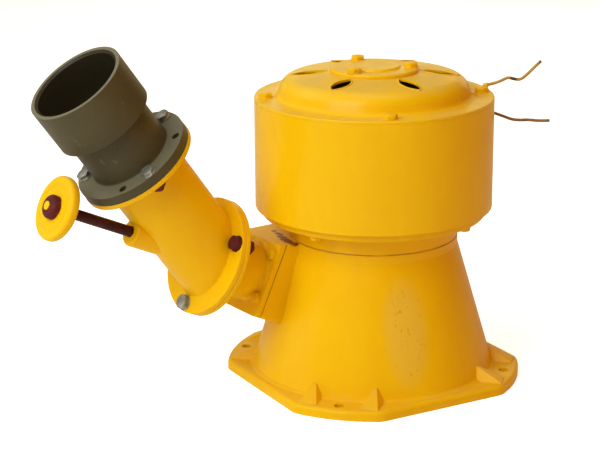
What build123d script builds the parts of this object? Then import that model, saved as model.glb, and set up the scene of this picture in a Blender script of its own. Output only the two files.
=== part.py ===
from build123d import *
import math
import os

os.makedirs("parts", exist_ok=True)

# Hydroelectric generator: a small vertical-shaft turbine with an inclined jet and its alternator on top.
# The origin is the centre of the base's underside, on the shaft's axis, and +Z is up.
# The jet flows towards +X, downwards, in a vertical plane beside the shaft.

# Fits and seats
SEAT_GAP = 0.3
SPINDLE_CLEARANCE = 0.08
SHAFT_CLEARANCE = 0.05
BOLT_CLEARANCE = 0.25

# How far a cutter runs past the face that it opens
OVERRUN = 1.0
FACE_OVERLAP = 0.01

# Casing: a hollow cone on a four-lobed base
BASE_THICKNESS = 13.0
BASE_FLAT_MARGIN = 13.0
BASE_LOBE_REACH = 22.5
BASE_LOBE_ANGLE = 39.5
BASE_RIM_FILLET = 5.0
BASE_HOLE_EDGE = 17.0
BASE_HOLE_RADIUS = 6.5
CASING_FOOT_RADIUS = 160.5
CASING_FOOT_FILLET = 5.0
CASING_FOOT_LIP = 1.0
FOOT_HOLLOW_OUT = 1.0
FOOT_HOLLOW_DROP = 2.0
FOOT_FILLET_RUN = 3.0
CASING_NECK_RADIUS = 108.5
CASING_HEIGHT = 191.5
CASING_WALL = 7.0
DECK_THICKNESS = 8.0
DECK_FLANGE_RADIUS = 111.5
DECK_FLANGE_HEIGHT = 7.0
DECK_FLANGE_TAPER = 4.0
GUSSET_SPACING = 80.0
GUSSET_BASE_WIDTH = 24.0
GUSSET_RIDGE_WIDTH = 5.0
GUSSET_HEIGHT = 17.0
GUSSET_TIP_INSET = 11.0
GUSSET_TIP_HEIGHT = 1.0
GUSSET_SINK = 2.0
GUSSET_FOOT_DEPTH = 12.0
GUSSET_RIDGE_DEPTH = 20.0

# Collar and lower end shield, between the casing and the drum
COLLAR_RADIUS = 110.5
COLLAR_HEIGHT = 28.5
COLLAR_FLARE = 8.0
BEARING_TUBE_DROP = 14.0
BEARING_TUBE_RADIUS = 34.0
SHIELD_RADIUS = 147.0
SHIELD_THICKNESS = 10.0
SHIELD_CHAMFER = 1.5
SHIELD_BOLT_EDGE = 9.5
SHIELD_BOLT_ANGLE = -69.0

# Drum: the alternator's housing, its top plate and the vented cowl
DRUM_RADIUS = 156.0
DRUM_HEIGHT = 143.0
DRUM_EDGE_FILLET = 2.0
TOP_PLATE_THICKNESS = 4.0
TOP_PLATE_FILLET = 1.5
TOP_BOLT_EDGE = 14.0
TOP_BOLT_ANGLE = 61.0
COWL_RADIUS = 127.0
COWL_HEIGHT = 32.0
COWL_CROWN = 7.0
COWL_SHOULDER_INSET = 8.0
COWL_SHOULDER_RADIUS = 22.0
COWL_WALL = 2.5
COWL_HUB_MARGIN = 1.5
VENT_COUNT = 6
VENT_ANGLE = -36.0
VENT_HUB_MARGIN = 5.0
VENT_LENGTH = 46.0
VENT_WIDTH = 20.0
BEARING_CAP_RADIUS = 57.5
BEARING_CAP_RIM = 5.0
BEARING_CAP_ROUNDED_SHARE = 0.6
BEARING_CAP_BOSS_RADIUS = 33.0
BEARING_CAP_BOSS_HEIGHT = 2.5
BEARING_CAP_BOSS_DRAFT = 1.5
BEARING_CAP_BOSS_FILLET = 1.2
CAP_BOLT_CIRCLE_RADIUS = 47.4
CAP_BOLT_COUNT = 3
CAP_BOLT_ANGLE = -39.5

# Bolts: distance across the flats and height of each hexagon head
M12_HEAD_FLATS = 18.0
M12_HEAD_HEIGHT = 7.5
M12_RADIUS = 6.0
M10_HEAD_FLATS = 16.0
M10_HEAD_HEIGHT = 6.4
M10_RADIUS = 5.0
M8_HEAD_FLATS = 13.0
M8_HEAD_HEIGHT = 5.3
BOLT_END_LENGTH = 4.0

# Jet line: where it crosses the round flange's joint, and its slope
JET_PLANE_OFFSET = 62.0
JET_SLOPE = 25.0
JET_FLANGE_X = -219.7
JET_FLANGE_DROP = 10.3

# Nozzle body, from the round flange to the casing's inlet pad
ROUND_FLANGE_RADIUS = 77.5
ROUND_FLANGE_THICKNESS = 7.0
ROUND_FLANGE_CHAMFER = 0.8
ROUND_FLANGE_BOLT_EDGE = 11.0
ROUND_FLANGE_BOLT_COUNT = 3
ROUND_FLANGE_BOLT_ANGLE = 63.0
PAD_STATION = 78.0
PAD_HALF_WIDTH = 47.0
PAD_DROP = 54.0
PAD_DEPTH = 110.0
PAD_FILLET = 8.0
NOZZLE_PLATE_THICKNESS = 8.0
NOZZLE_BODY_START_RADIUS = 50.0
NOZZLE_BODY_END_RADIUS = 38.0
NOZZLE_BORE_START_RADIUS = 35.0
NOZZLE_BORE_END_RADIUS = 26.0
NOZZLE_TIP_LENGTH = 46.0
NOZZLE_TIP_WALL = 6.0
NOZZLE_HOLE_CLEARANCE = 1.5
NOZZLE_HOLE_LENGTH = 90.0
JET_RADIUS = 9.5
PLATE_BOLT_SPREAD_ACROSS = 72.0
PLATE_BOLT_SPREAD_UP = 60.0

# Valve body: a chamber on the jet line, a slanted pipe and the spindle's boss
BOSS_RADIUS = 18.0
BOSS_EDGE_FILLET = 3.0
BOSS_END_STATION = 125.0
PIPE_SLOPE = 54.0
PIPE_RADIUS = 51.5
BODY_WALL = 7.5
PIPE_FLANGE_STATION = 169.0
PIPE_FLANGE_THICKNESS = 6.0
PIPE_FLANGE_RADIUS = 76.5
GLAND_RADIUS = 12.5
GLAND_DEPTH = 18.0

# Plastic pipe socket
SOCKET_FLANGE_RADIUS = 76.0
SOCKET_FLANGE_THICKNESS = 12.5
SOCKET_NECK_RADIUS = 53.0
SOCKET_NECK_LENGTH = 61.0
SOCKET_BELL_RADIUS = 63.0
SOCKET_BELL_LENGTH = 62.0
PIPE_OUTER_RADIUS = 55.0
SOCKET_DEPTH = 56.0
SOCKET_NECK_BORE_RADIUS = 46.0
SOCKET_MOUTH_CHAMFER = 3.0
SOCKET_BOLT_EDGE = 10.5
SOCKET_BOLT_ANGLES = (6.0, 258.0, 141.0)
SOCKET_SPARE_HOLE_RADIUS = 5.0
SOCKET_SPARE_HOLE_ANGLES = (315.0, 225.0, 75.0)

# Spindle, spear and handwheel
SPINDLE_RADIUS = 7.0
SPINDLE_END_RADIUS = 5.5
WHEEL_STATION = 228.5
WHEEL_THICKNESS = 13.0
WHEEL_RADIUS = 41.0
WHEEL_EDGE_FILLET = 5.0
WHEEL_DISH_RADIUS = 30.0
WHEEL_DISH_DEPTH = 1.5
WHEEL_HUB_RADIUS = 15.0
WHEEL_HUB_LENGTH = 5.0
WHEEL_NUT_FLATS = 25.0
WHEEL_NUT_HEIGHT = 10.0
SPINDLE_TAIL = 1.5
SPEAR_RADIUS = 13.0
SPEAR_POINT_RADIUS = 1.0
SPEAR_START = 40.0
SPEAR_TIP_STATION = 104.0
SPEAR_HUB_LENGTH = 24.0
SPEAR_BORE_DEPTH = 16.0

# Runner and shaft
RUNNER_LEVEL = 80.0
RUNNER_HUB_RADIUS = 41.0
RUNNER_HUB_HEIGHT = 36.0
RUNNER_DISC_HEIGHT = 12.0
RUNNER_BOSS_WALL = 12.0
BUCKET_COUNT = 20
BUCKET_LENGTH = 44.0
BUCKET_DEPTH = 17.0
BUCKET_WALL = 2.6
BUCKET_SWEEP = 120.0
BUCKET_LEAN = 12.0
RUNNER_RIM_THICKNESS = 5.0
RUNNER_RIM_HEIGHT = 15.0
SHAFT_RADIUS = 12.5
SHAFT_NUT_FLATS = 30.0
SHAFT_NUT_HEIGHT = 12.0

# Leads: where each one leaves the drum, and its route from there
LEAD_RADIUS = 1.8
ARC_SHARE = 0.45
LUG_BARREL_RADIUS = 3.0
LUG_BARREL_LENGTH = 6.5
GROMMET_RADIUS = 5.0
GROMMET_LENGTH = 5.0
UPPER_LEAD_INSET = 16.5
UPPER_LEAD_ACROSS = -63.0
UPPER_LEAD_LIFT = 6.5
UPPER_LEAD_ROUTE = [
    (0, 0, 0), (6.5, -7, 2.5), (12.5, -13.5, 6.5), (18, -19, 11), (24, -24.5, 8.5),
    (30.5, -30, 8), (37, -35.5, 15.5), (44, -41, 25), (50.5, -46, 33),
]
LOWER_LEAD_INSET = 3.0
LOWER_LEAD_ACROSS = -53.0
LOWER_LEAD_DROP = 29.0
LOWER_LEAD_ROUTE = [
    (0, 0, 0), (6, -5.5, -3), (12.5, -14.5, -6), (19, -22.5, -9.5), (26.5, -30, -10),
    (35, -38, -9), (45, -46.5, -10.5), (55.5, -56, -9.5),
]

SHIELD_Z = CASING_HEIGHT + COLLAR_HEIGHT
DRUM_Z = SHIELD_Z + SHIELD_THICKNESS
TOP_PLATE_Z = DRUM_Z + DRUM_HEIGHT
COWL_Z = TOP_PLATE_Z + TOP_PLATE_THICKNESS
COWL_TOP_Z = COWL_Z + COWL_HEIGHT
BEARING_CAP_Z = COWL_TOP_Z
UPPER_LEAD_EXIT = Vector(DRUM_RADIUS - UPPER_LEAD_INSET, UPPER_LEAD_ACROSS, COWL_Z + UPPER_LEAD_LIFT)
LOWER_LEAD_EXIT = Vector(DRUM_RADIUS - LOWER_LEAD_INSET, LOWER_LEAD_ACROSS, TOP_PLATE_Z - LOWER_LEAD_DROP)

BASE_FLAT_DISTANCE = CASING_FOOT_RADIUS + BASE_FLAT_MARGIN
BASE_LOBE_RADIUS = BASE_FLAT_DISTANCE + BASE_LOBE_REACH
BASE_HOLE_CIRCLE_RADIUS = BASE_LOBE_RADIUS - BASE_HOLE_EDGE
GUSSET_TIP_RADIUS = BASE_LOBE_RADIUS - GUSSET_TIP_INSET
SHIELD_BOLT_CIRCLE_RADIUS = SHIELD_RADIUS - SHIELD_BOLT_EDGE
TOP_BOLT_CIRCLE_RADIUS = DRUM_RADIUS - TOP_BOLT_EDGE
ROUND_FLANGE_BOLT_CIRCLE_RADIUS = ROUND_FLANGE_RADIUS - ROUND_FLANGE_BOLT_EDGE
SOCKET_BOLT_CIRCLE_RADIUS = PIPE_FLANGE_RADIUS - SOCKET_BOLT_EDGE
VENT_INNER_RADIUS = BEARING_CAP_RADIUS + VENT_HUB_MARGIN
VENT_OUTER_RADIUS = VENT_INNER_RADIUS + VENT_LENGTH
COWL_FLAT_RADIUS = BEARING_CAP_RADIUS + COWL_HUB_MARGIN
RUNNER_RIM_INNER_RADIUS = RUNNER_HUB_RADIUS + BUCKET_LENGTH

JET_DIRECTION = Vector(math.cos(math.radians(JET_SLOPE)), 0, -math.sin(math.radians(JET_SLOPE)))
JET_UP = Vector(math.sin(math.radians(JET_SLOPE)), 0, math.cos(math.radians(JET_SLOPE)))
PIPE_OUTWARD = Vector(-math.cos(math.radians(PIPE_SLOPE)), 0, math.sin(math.radians(PIPE_SLOPE)))
PIPE_UP = Vector(math.sin(math.radians(PIPE_SLOPE)), 0, math.cos(math.radians(PIPE_SLOPE)))
FLANGE_CENTRE = Vector(JET_FLANGE_X, JET_PLANE_OFFSET, CASING_HEIGHT - JET_FLANGE_DROP)
PIPE_JOINT_STATION = PIPE_FLANGE_STATION + PIPE_FLANGE_THICKNESS
NOZZLE_TIP_START_RADIUS = NOZZLE_BORE_END_RADIUS + NOZZLE_TIP_WALL


def jet_plane(station):
    """Plane square to the jet at a distance downstream of the round flange's joint; its x is up."""
    return Plane(origin=FLANGE_CENTRE + JET_DIRECTION * station, x_dir=JET_UP, z_dir=JET_DIRECTION)


def pipe_plane(station):
    """Plane square to the slanted pipe at a distance upstream of the jet line; its x is up."""
    return Plane(origin=FLANGE_CENTRE + PIPE_OUTWARD * station, x_dir=PIPE_UP, z_dir=PIPE_OUTWARD)


def rod(plane, radius, length):
    return extrude(plane * Circle(radius), length)


def taper(plane, start_radius, end_radius, length):
    """Cone frustum that starts on the plane and runs along its normal."""
    upper = Plane(origin=plane.origin + plane.z_dir * length, x_dir=plane.x_dir, z_dir=plane.z_dir)
    return loft([plane * Circle(start_radius), upper * Circle(end_radius)])


def turned(points):
    """Solid of revolution about the shaft's axis from radius and height pairs."""
    outline = Polyline(*[(radius, 0, height) for radius, height in points], close=True)
    return revolve(make_face(outline), Axis.Z)


def around_shaft(shape, count, first_angle):
    return [Rot(0, 0, first_angle + 360.0 * number / count) * shape for number in range(count)]


def hexagon_head(plane, flats, height):
    """Hexagon head or nut standing on the plane."""
    return extrude(plane * RegularPolygon(flats / 2, 6, major_radius=False), height)


def level_plane(radius, height, angle=0.0, downwards=False):
    x = radius * math.cos(math.radians(angle))
    y = radius * math.sin(math.radians(angle))
    return Plane(origin=(x, y, height), x_dir=(1, 0, 0), z_dir=(0, 0, -1 if downwards else 1))


def casing_radius(height):
    """Outer radius of the casing's cone at a height."""
    share = (height - BASE_THICKNESS) / (CASING_HEIGHT - BASE_THICKNESS)
    return CASING_FOOT_RADIUS + (CASING_NECK_RADIUS - CASING_FOOT_RADIUS) * share


def casing_cavity():
    """Space inside the cone, open at the bottom."""
    ceiling = CASING_HEIGHT - DECK_THICKNESS
    foot = casing_radius(0) - CASING_WALL
    top = casing_radius(ceiling) - CASING_WALL
    return turned([(0, -OVERRUN), (foot, -OVERRUN), (top, ceiling), (0, ceiling)])


def base_plate():
    """Round plate with four flats, which leave a rounded lobe at each bolt."""
    square = Rot(0, 0, BASE_LOBE_ANGLE - 45) * Rectangle(2 * BASE_FLAT_DISTANCE, 2 * BASE_FLAT_DISTANCE)
    outline = Circle(BASE_LOBE_RADIUS) & square
    outline = fillet(outline.vertices(), BASE_LOBE_REACH)
    plate = extrude(outline, BASE_THICKNESS)
    plate = fillet(plate.faces().sort_by(Axis.Z)[-1].edges(), BASE_RIM_FILLET)
    return plate


def gusset():
    """Wedge beside a base bolt, on the +X side, that narrows upwards to a ridge and slopes down outwards."""
    foot = casing_radius(BASE_THICKNESS) - CASING_WALL / 2
    top = casing_radius(BASE_THICKNESS + GUSSET_HEIGHT) - CASING_WALL / 2
    sunk = BASE_THICKNESS - GUSSET_SINK
    ridge = BASE_THICKNESS + GUSSET_HEIGHT
    side = make_face(Polyline(
        (foot - GUSSET_FOOT_DEPTH, 0, sunk), (GUSSET_TIP_RADIUS, 0, sunk),
        (GUSSET_TIP_RADIUS, 0, BASE_THICKNESS + GUSSET_TIP_HEIGHT),
        (top, 0, ridge), (top - GUSSET_RIDGE_DEPTH, 0, ridge), close=True,
    ))
    low = GUSSET_BASE_WIDTH / 2
    high = GUSSET_RIDGE_WIDTH / 2
    across = make_face(Polyline(
        (0, -low, sunk), (0, low, sunk), (0, low, BASE_THICKNESS),
        (0, high, ridge), (0, -high, ridge), (0, -low, BASE_THICKNESS), close=True,
    ))
    return extrude(side, GUSSET_BASE_WIDTH, both=True) & extrude(across, BASE_LOBE_RADIUS, dir=(1, 0, 0))


def below_deck(shape):
    """What of a shape lies below the level of the casing's deck."""
    reach = 4 * BASE_LOBE_RADIUS
    return shape & (Pos(0, 0, CASING_HEIGHT - reach / 2) * Box(reach, reach, reach))


def pad_block(station, length):
    """Block square to the jet, rounded at its lower corners and level on top with the deck."""
    height = 4 * PAD_DROP
    section = Pos(height / 2 - PAD_DROP, 0) * RectangleRounded(height, 2 * PAD_HALF_WIDTH, PAD_FILLET)
    return below_deck(extrude(jet_plane(station) * section, length))


def turbine_casing():
    foot = casing_radius(BASE_THICKNESS - CASING_FOOT_LIP)
    flare = foot + CASING_FOOT_FILLET
    fillet_top = BASE_THICKNESS + CASING_FOOT_FILLET
    fillet_end = fillet_top + FOOT_FILLET_RUN
    deck_low = CASING_HEIGHT - DECK_FLANGE_HEIGHT
    taper_low = deck_low - DECK_FLANGE_TAPER
    cone = turned([
        (0, 0), (foot - CASING_FOOT_FILLET, 0),
        (flare, BASE_THICKNESS - CASING_FOOT_LIP), (flare, BASE_THICKNESS),
        (casing_radius(fillet_top) + FOOT_HOLLOW_OUT, fillet_top - FOOT_HOLLOW_DROP),
        (casing_radius(fillet_end), fillet_end), (casing_radius(taper_low), taper_low),
        (DECK_FLANGE_RADIUS, deck_low), (DECK_FLANGE_RADIUS, CASING_HEIGHT), (0, CASING_HEIGHT),
    ])
    body = base_plate() + cone
    for side in (-1, 1):
        web = Pos(0, side * GUSSET_SPACING / 2, 0) * gusset()
        for copy in around_shaft(web, 4, BASE_LOBE_ANGLE):
            body += copy
    body += pad_block(PAD_STATION, PAD_DEPTH)
    body -= casing_cavity()
    deck_hole = level_plane(0, CASING_HEIGHT - DECK_THICKNESS - OVERRUN)
    body -= rod(deck_hole, BEARING_TUBE_RADIUS + SEAT_GAP, DECK_THICKNESS + 2 * OVERRUN)
    tip_hole_radius = NOZZLE_TIP_START_RADIUS + NOZZLE_HOLE_CLEARANCE
    body -= rod(jet_plane(PAD_STATION - OVERRUN), tip_hole_radius, NOZZLE_HOLE_LENGTH)
    hole_plane = level_plane(BASE_HOLE_CIRCLE_RADIUS, -OVERRUN)
    hole = rod(hole_plane, BASE_HOLE_RADIUS, BASE_THICKNESS + GUSSET_HEIGHT)
    for copy in around_shaft(hole, 4, BASE_LOBE_ANGLE):
        body -= copy
    return body


def bearing_collar():
    """Collar with the lower bearing's tube, which hangs through the casing's deck."""
    tube_low = CASING_HEIGHT - DECK_THICKNESS - BEARING_TUBE_DROP
    bore = SHAFT_RADIUS + SHAFT_CLEARANCE
    return turned([
        (bore, tube_low), (BEARING_TUBE_RADIUS, tube_low), (BEARING_TUBE_RADIUS, CASING_HEIGHT),
        (COLLAR_RADIUS, CASING_HEIGHT), (COLLAR_RADIUS, SHIELD_Z - COLLAR_FLARE),
        (COLLAR_RADIUS + COLLAR_FLARE, SHIELD_Z), (bore, SHIELD_Z),
    ])


def lower_end_shield():
    shield = rod(level_plane(0, SHIELD_Z), SHIELD_RADIUS, SHIELD_THICKNESS)
    shield = chamfer(shield.edges().sort_by(Axis.Z)[0], SHIELD_CHAMFER)
    bore = level_plane(0, SHIELD_Z - OVERRUN)
    return shield - rod(bore, SHAFT_RADIUS + SHAFT_CLEARANCE, SHIELD_THICKNESS + 2 * OVERRUN)


def generator_drum():
    drum = rod(level_plane(0, DRUM_Z), DRUM_RADIUS, DRUM_HEIGHT)
    return fillet(drum.edges().sort_by(Axis.Z)[0], DRUM_EDGE_FILLET)


def top_plate():
    plate = rod(level_plane(0, TOP_PLATE_Z), DRUM_RADIUS, TOP_PLATE_THICKNESS)
    return fillet(plate.edges().sort_by(Axis.Z)[-1], TOP_PLATE_FILLET)


def cowl_form(inset):
    """Dome that fills the cowl, drawn in by an inset; its wall leans inwards up to the shoulder."""
    radius = COWL_RADIUS - inset
    top = COWL_TOP_Z - inset
    shoulder_radius = radius - COWL_SHOULDER_INSET
    profile = make_face(Polyline(
        (0, 0, COWL_Z), (radius, 0, COWL_Z), (shoulder_radius, 0, top - COWL_CROWN),
        (COWL_FLAT_RADIUS, 0, top), (0, 0, top), close=True,
    ))
    corner = profile.vertices().filter_by(lambda vertex: abs(vertex.X - shoulder_radius) < 0.01)[0]
    profile = fillet(corner, COWL_SHOULDER_RADIUS - inset)
    return revolve(profile, Axis.Z)


def vent_slot():
    """Leaf-shaped cutter for one vent, on the +X side."""
    middle = (VENT_INNER_RADIUS + VENT_OUTER_RADIUS) / 2
    upper = ThreePointArc((VENT_INNER_RADIUS, 0), (middle, VENT_WIDTH / 2), (VENT_OUTER_RADIUS, 0))
    lower = ThreePointArc((VENT_OUTER_RADIUS, 0), (middle, -VENT_WIDTH / 2), (VENT_INNER_RADIUS, 0))
    leaf = make_face([upper, lower])
    return extrude(Pos(0, 0, COWL_Z + COWL_HEIGHT / 2) * leaf, COWL_HEIGHT)


def fan_cowl():
    cowl = cowl_form(0) - cowl_form(COWL_WALL)
    for slot in around_shaft(vent_slot(), VENT_COUNT, VENT_ANGLE):
        cowl -= slot
    return cowl


def bearing_cap():
    rim = rod(level_plane(0, BEARING_CAP_Z), BEARING_CAP_RADIUS, BEARING_CAP_RIM)
    rim = fillet(rim.edges().sort_by(Axis.Z)[-1], BEARING_CAP_RIM * BEARING_CAP_ROUNDED_SHARE)
    foot_radius = BEARING_CAP_BOSS_RADIUS + BEARING_CAP_BOSS_DRAFT
    boss_plane = level_plane(0, BEARING_CAP_Z + BEARING_CAP_RIM)
    boss = taper(boss_plane, foot_radius, BEARING_CAP_BOSS_RADIUS, BEARING_CAP_BOSS_HEIGHT)
    boss = fillet(boss.edges().sort_by(Axis.Z)[-1], BEARING_CAP_BOSS_FILLET)
    return rim + boss


def headed_bolts(circle_radius, height, angle, flats, head_height, count, downwards=False):
    heads = []
    for number in range(count):
        plane = level_plane(circle_radius, height, angle + 360.0 * number / count, downwards)
        heads.append(hexagon_head(plane, flats, head_height))
    return Compound(children=heads)


def turned_plane(plane, circle_radius, angle):
    """Plane moved out along its own face to a bolt's place on a circle."""
    turn = math.radians(angle)
    origin = plane.from_local_coords((circle_radius * math.cos(turn), circle_radius * math.sin(turn), 0))
    return Plane(origin=origin, x_dir=plane.x_dir, z_dir=plane.z_dir)


def round_flange_angles():
    step = 360.0 / ROUND_FLANGE_BOLT_COUNT
    return [ROUND_FLANGE_BOLT_ANGLE + step * number for number in range(ROUND_FLANGE_BOLT_COUNT)]


def round_flange(station):
    plane = jet_plane(station)
    disc = rod(plane, ROUND_FLANGE_RADIUS, ROUND_FLANGE_THICKNESS)
    disc = chamfer(disc.edges().filter_by(GeomType.CIRCLE), ROUND_FLANGE_CHAMFER)
    hole_radius = M12_RADIUS + BOLT_CLEARANCE
    for angle in round_flange_angles():
        hole_plane = turned_plane(plane, ROUND_FLANGE_BOLT_CIRCLE_RADIUS, angle)
        disc -= rod(hole_plane, hole_radius, ROUND_FLANGE_THICKNESS)
    return disc


def nozzle_body():
    plate_station = PAD_STATION - NOZZLE_PLATE_THICKNESS
    cone_length = plate_station - ROUND_FLANGE_THICKNESS
    cone_foot = jet_plane(ROUND_FLANGE_THICKNESS)
    body = round_flange(0)
    body += taper(cone_foot, NOZZLE_BODY_START_RADIUS, NOZZLE_BODY_END_RADIUS, cone_length)
    body += pad_block(plate_station, NOZZLE_PLATE_THICKNESS)
    bore_length = PAD_STATION + 2 * FACE_OVERLAP
    body -= taper(jet_plane(-FACE_OVERLAP), NOZZLE_BORE_START_RADIUS, NOZZLE_BORE_END_RADIUS, bore_length)
    return body


def nozzle_tip():
    """Converging ring in the casing that forms the jet."""
    plane = jet_plane(PAD_STATION)
    outer = taper(plane, NOZZLE_TIP_START_RADIUS, JET_RADIUS + NOZZLE_TIP_WALL, NOZZLE_TIP_LENGTH)
    bore_length = NOZZLE_TIP_LENGTH + 2 * FACE_OVERLAP
    return outer - taper(jet_plane(PAD_STATION - FACE_OVERLAP), NOZZLE_BORE_END_RADIUS, JET_RADIUS, bore_length)


def upstream_of_joint(distance=0.0):
    """Half-space, as a large disc, on the upstream side of the round flange's joint."""
    reach = 2 * (PIPE_JOINT_STATION + PIPE_FLANGE_RADIUS)
    return rod(jet_plane(-distance - reach), reach, reach)


def valve_body():
    """Slanted pipe that meets the round flange, with the spindle's boss running into its back."""
    foot = pipe_plane(-PIPE_RADIUS)
    body = round_flange(-ROUND_FLANGE_THICKNESS)
    body += rod(foot, PIPE_RADIUS, PIPE_FLANGE_STATION + PIPE_RADIUS) & upstream_of_joint()
    boss = rod(jet_plane(-BOSS_END_STATION), BOSS_RADIUS, BOSS_END_STATION)
    body += fillet(boss.edges().sort_by(Axis.X)[0], BOSS_EDGE_FILLET)
    body += rod(pipe_plane(PIPE_FLANGE_STATION), PIPE_FLANGE_RADIUS, PIPE_FLANGE_THICKNESS)
    chamber = rod(foot, PIPE_RADIUS - BODY_WALL, PIPE_JOINT_STATION + PIPE_RADIUS + OVERRUN)
    body -= chamber & upstream_of_joint(ROUND_FLANGE_THICKNESS)
    outlet_depth = ROUND_FLANGE_THICKNESS + PIPE_RADIUS / 2
    body -= rod(jet_plane(-outlet_depth), NOZZLE_BORE_START_RADIUS, outlet_depth + OVERRUN)
    boss_end = jet_plane(-BOSS_END_STATION - OVERRUN)
    body -= rod(boss_end, SPINDLE_RADIUS + SPINDLE_CLEARANCE, BOSS_END_STATION)
    body -= rod(boss_end, GLAND_RADIUS, GLAND_DEPTH + OVERRUN)
    for angle in SOCKET_BOLT_ANGLES:
        hole_plane = turned_plane(pipe_plane(PIPE_FLANGE_STATION), SOCKET_BOLT_CIRCLE_RADIUS, angle)
        body -= rod(hole_plane, M10_RADIUS + BOLT_CLEARANCE, PIPE_FLANGE_THICKNESS)
    return body


def pipe_socket():
    joint = pipe_plane(PIPE_JOINT_STATION)
    flange = rod(joint, SOCKET_FLANGE_RADIUS, SOCKET_FLANGE_THICKNESS)
    neck_station = PIPE_JOINT_STATION + SOCKET_FLANGE_THICKNESS
    neck = rod(pipe_plane(neck_station), SOCKET_NECK_RADIUS, SOCKET_NECK_LENGTH)
    bell = rod(pipe_plane(neck_station + SOCKET_NECK_LENGTH), SOCKET_BELL_RADIUS, SOCKET_BELL_LENGTH)
    mouth_station = neck_station + SOCKET_NECK_LENGTH + SOCKET_BELL_LENGTH
    socket = flange + neck + bell
    socket -= rod(pipe_plane(PIPE_JOINT_STATION - OVERRUN), SOCKET_NECK_BORE_RADIUS, mouth_station)
    socket -= rod(pipe_plane(mouth_station - SOCKET_DEPTH), PIPE_OUTER_RADIUS, SOCKET_DEPTH + OVERRUN)
    mouth_radius = PIPE_OUTER_RADIUS + SOCKET_MOUTH_CHAMFER + FACE_OVERLAP
    mouth = pipe_plane(mouth_station - SOCKET_MOUTH_CHAMFER)
    socket -= taper(mouth, PIPE_OUTER_RADIUS, mouth_radius, SOCKET_MOUTH_CHAMFER + FACE_OVERLAP)
    bolt_holes = (M10_RADIUS + BOLT_CLEARANCE, SOCKET_BOLT_ANGLES)
    spare_holes = (SOCKET_SPARE_HOLE_RADIUS, SOCKET_SPARE_HOLE_ANGLES)
    for radius, angles in (bolt_holes, spare_holes):
        for angle in angles:
            hole_plane = turned_plane(joint, SOCKET_BOLT_CIRCLE_RADIUS, angle)
            socket -= rod(hole_plane, radius, SOCKET_FLANGE_THICKNESS)
    return socket


def reversed_plane(plane, distance=0.0):
    """The same plane seen from behind, moved back along its normal."""
    return Plane(origin=plane.origin - plane.z_dir * distance, x_dir=plane.x_dir, z_dir=-plane.z_dir)


def through_bolt(plane, grip, radius, flats, head_height):
    """Bolt whose head stands on the plane and whose shank runs back through a grip to its nut."""
    back = reversed_plane(plane, grip)
    shank = rod(reversed_plane(plane), radius, grip + head_height + BOLT_END_LENGTH)
    return hexagon_head(plane, flats, head_height) + shank + hexagon_head(back, flats, head_height)


def socket_bolts():
    face = pipe_plane(PIPE_JOINT_STATION + SOCKET_FLANGE_THICKNESS)
    grip = SOCKET_FLANGE_THICKNESS + PIPE_FLANGE_THICKNESS
    bolts = []
    for angle in SOCKET_BOLT_ANGLES:
        place = turned_plane(face, SOCKET_BOLT_CIRCLE_RADIUS, angle)
        bolts.append(through_bolt(place, grip, M10_RADIUS, M10_HEAD_FLATS, M10_HEAD_HEIGHT))
    return Compound(children=bolts)


def round_flange_bolts():
    """Bolts whose heads stand on the valve body's side of the joint."""
    face = jet_plane(-ROUND_FLANGE_THICKNESS)
    grip = 2 * ROUND_FLANGE_THICKNESS
    bolts = []
    for angle in round_flange_angles():
        place = reversed_plane(turned_plane(face, ROUND_FLANGE_BOLT_CIRCLE_RADIUS, angle))
        bolts.append(through_bolt(place, grip, M12_RADIUS, M12_HEAD_FLATS, M12_HEAD_HEIGHT))
    return Compound(children=bolts)


def nozzle_plate_bolts():
    face = jet_plane(PAD_STATION - NOZZLE_PLATE_THICKNESS)
    heads = []
    for up in (-1, 1):
        for across in (-1, 1):
            spot = (up * PLATE_BOLT_SPREAD_UP / 2, across * PLATE_BOLT_SPREAD_ACROSS / 2, 0)
            place = Plane(origin=face.from_local_coords(spot), x_dir=face.x_dir, z_dir=-face.z_dir)
            heads.append(hexagon_head(place, M8_HEAD_FLATS, M8_HEAD_HEIGHT))
    return Compound(children=heads)


def spindle_gland():
    ring = rod(jet_plane(-BOSS_END_STATION), GLAND_RADIUS, GLAND_DEPTH)
    bore = jet_plane(-BOSS_END_STATION - OVERRUN)
    return ring - rod(bore, SPINDLE_RADIUS + SPINDLE_CLEARANCE, GLAND_DEPTH + 2 * OVERRUN)


def wheel_outer_station():
    """Station of the wheel's dished face, on which its nut is seated."""
    return WHEEL_STATION + WHEEL_THICKNESS - WHEEL_DISH_DEPTH


def spindle():
    outer_end = wheel_outer_station() + WHEEL_NUT_HEIGHT + SPINDLE_TAIL
    inner_end = SPEAR_START + SPEAR_BORE_DEPTH - SEAT_GAP
    shoulder = WHEEL_STATION - WHEEL_HUB_LENGTH
    thick_part = rod(jet_plane(-shoulder), SPINDLE_RADIUS, shoulder + inner_end)
    return thick_part + rod(jet_plane(-outer_end), SPINDLE_END_RADIUS, outer_end - shoulder)


def handwheel():
    """Round-edged disc with a dished outer face and a hub on its inner side."""
    outer_face = jet_plane(-WHEEL_STATION - WHEEL_THICKNESS)
    wheel = rod(outer_face, WHEEL_RADIUS, WHEEL_THICKNESS)
    wheel = fillet(wheel.edges().filter_by(GeomType.CIRCLE), WHEEL_EDGE_FILLET)
    wheel -= taper(outer_face, WHEEL_DISH_RADIUS, WHEEL_DISH_RADIUS - WHEEL_DISH_DEPTH, WHEEL_DISH_DEPTH)
    wheel += rod(jet_plane(-WHEEL_STATION), WHEEL_HUB_RADIUS, WHEEL_HUB_LENGTH)
    bore = jet_plane(-WHEEL_STATION - WHEEL_THICKNESS - OVERRUN)
    return wheel - rod(bore, SPINDLE_END_RADIUS, WHEEL_THICKNESS + WHEEL_HUB_LENGTH + 2 * OVERRUN)


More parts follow.
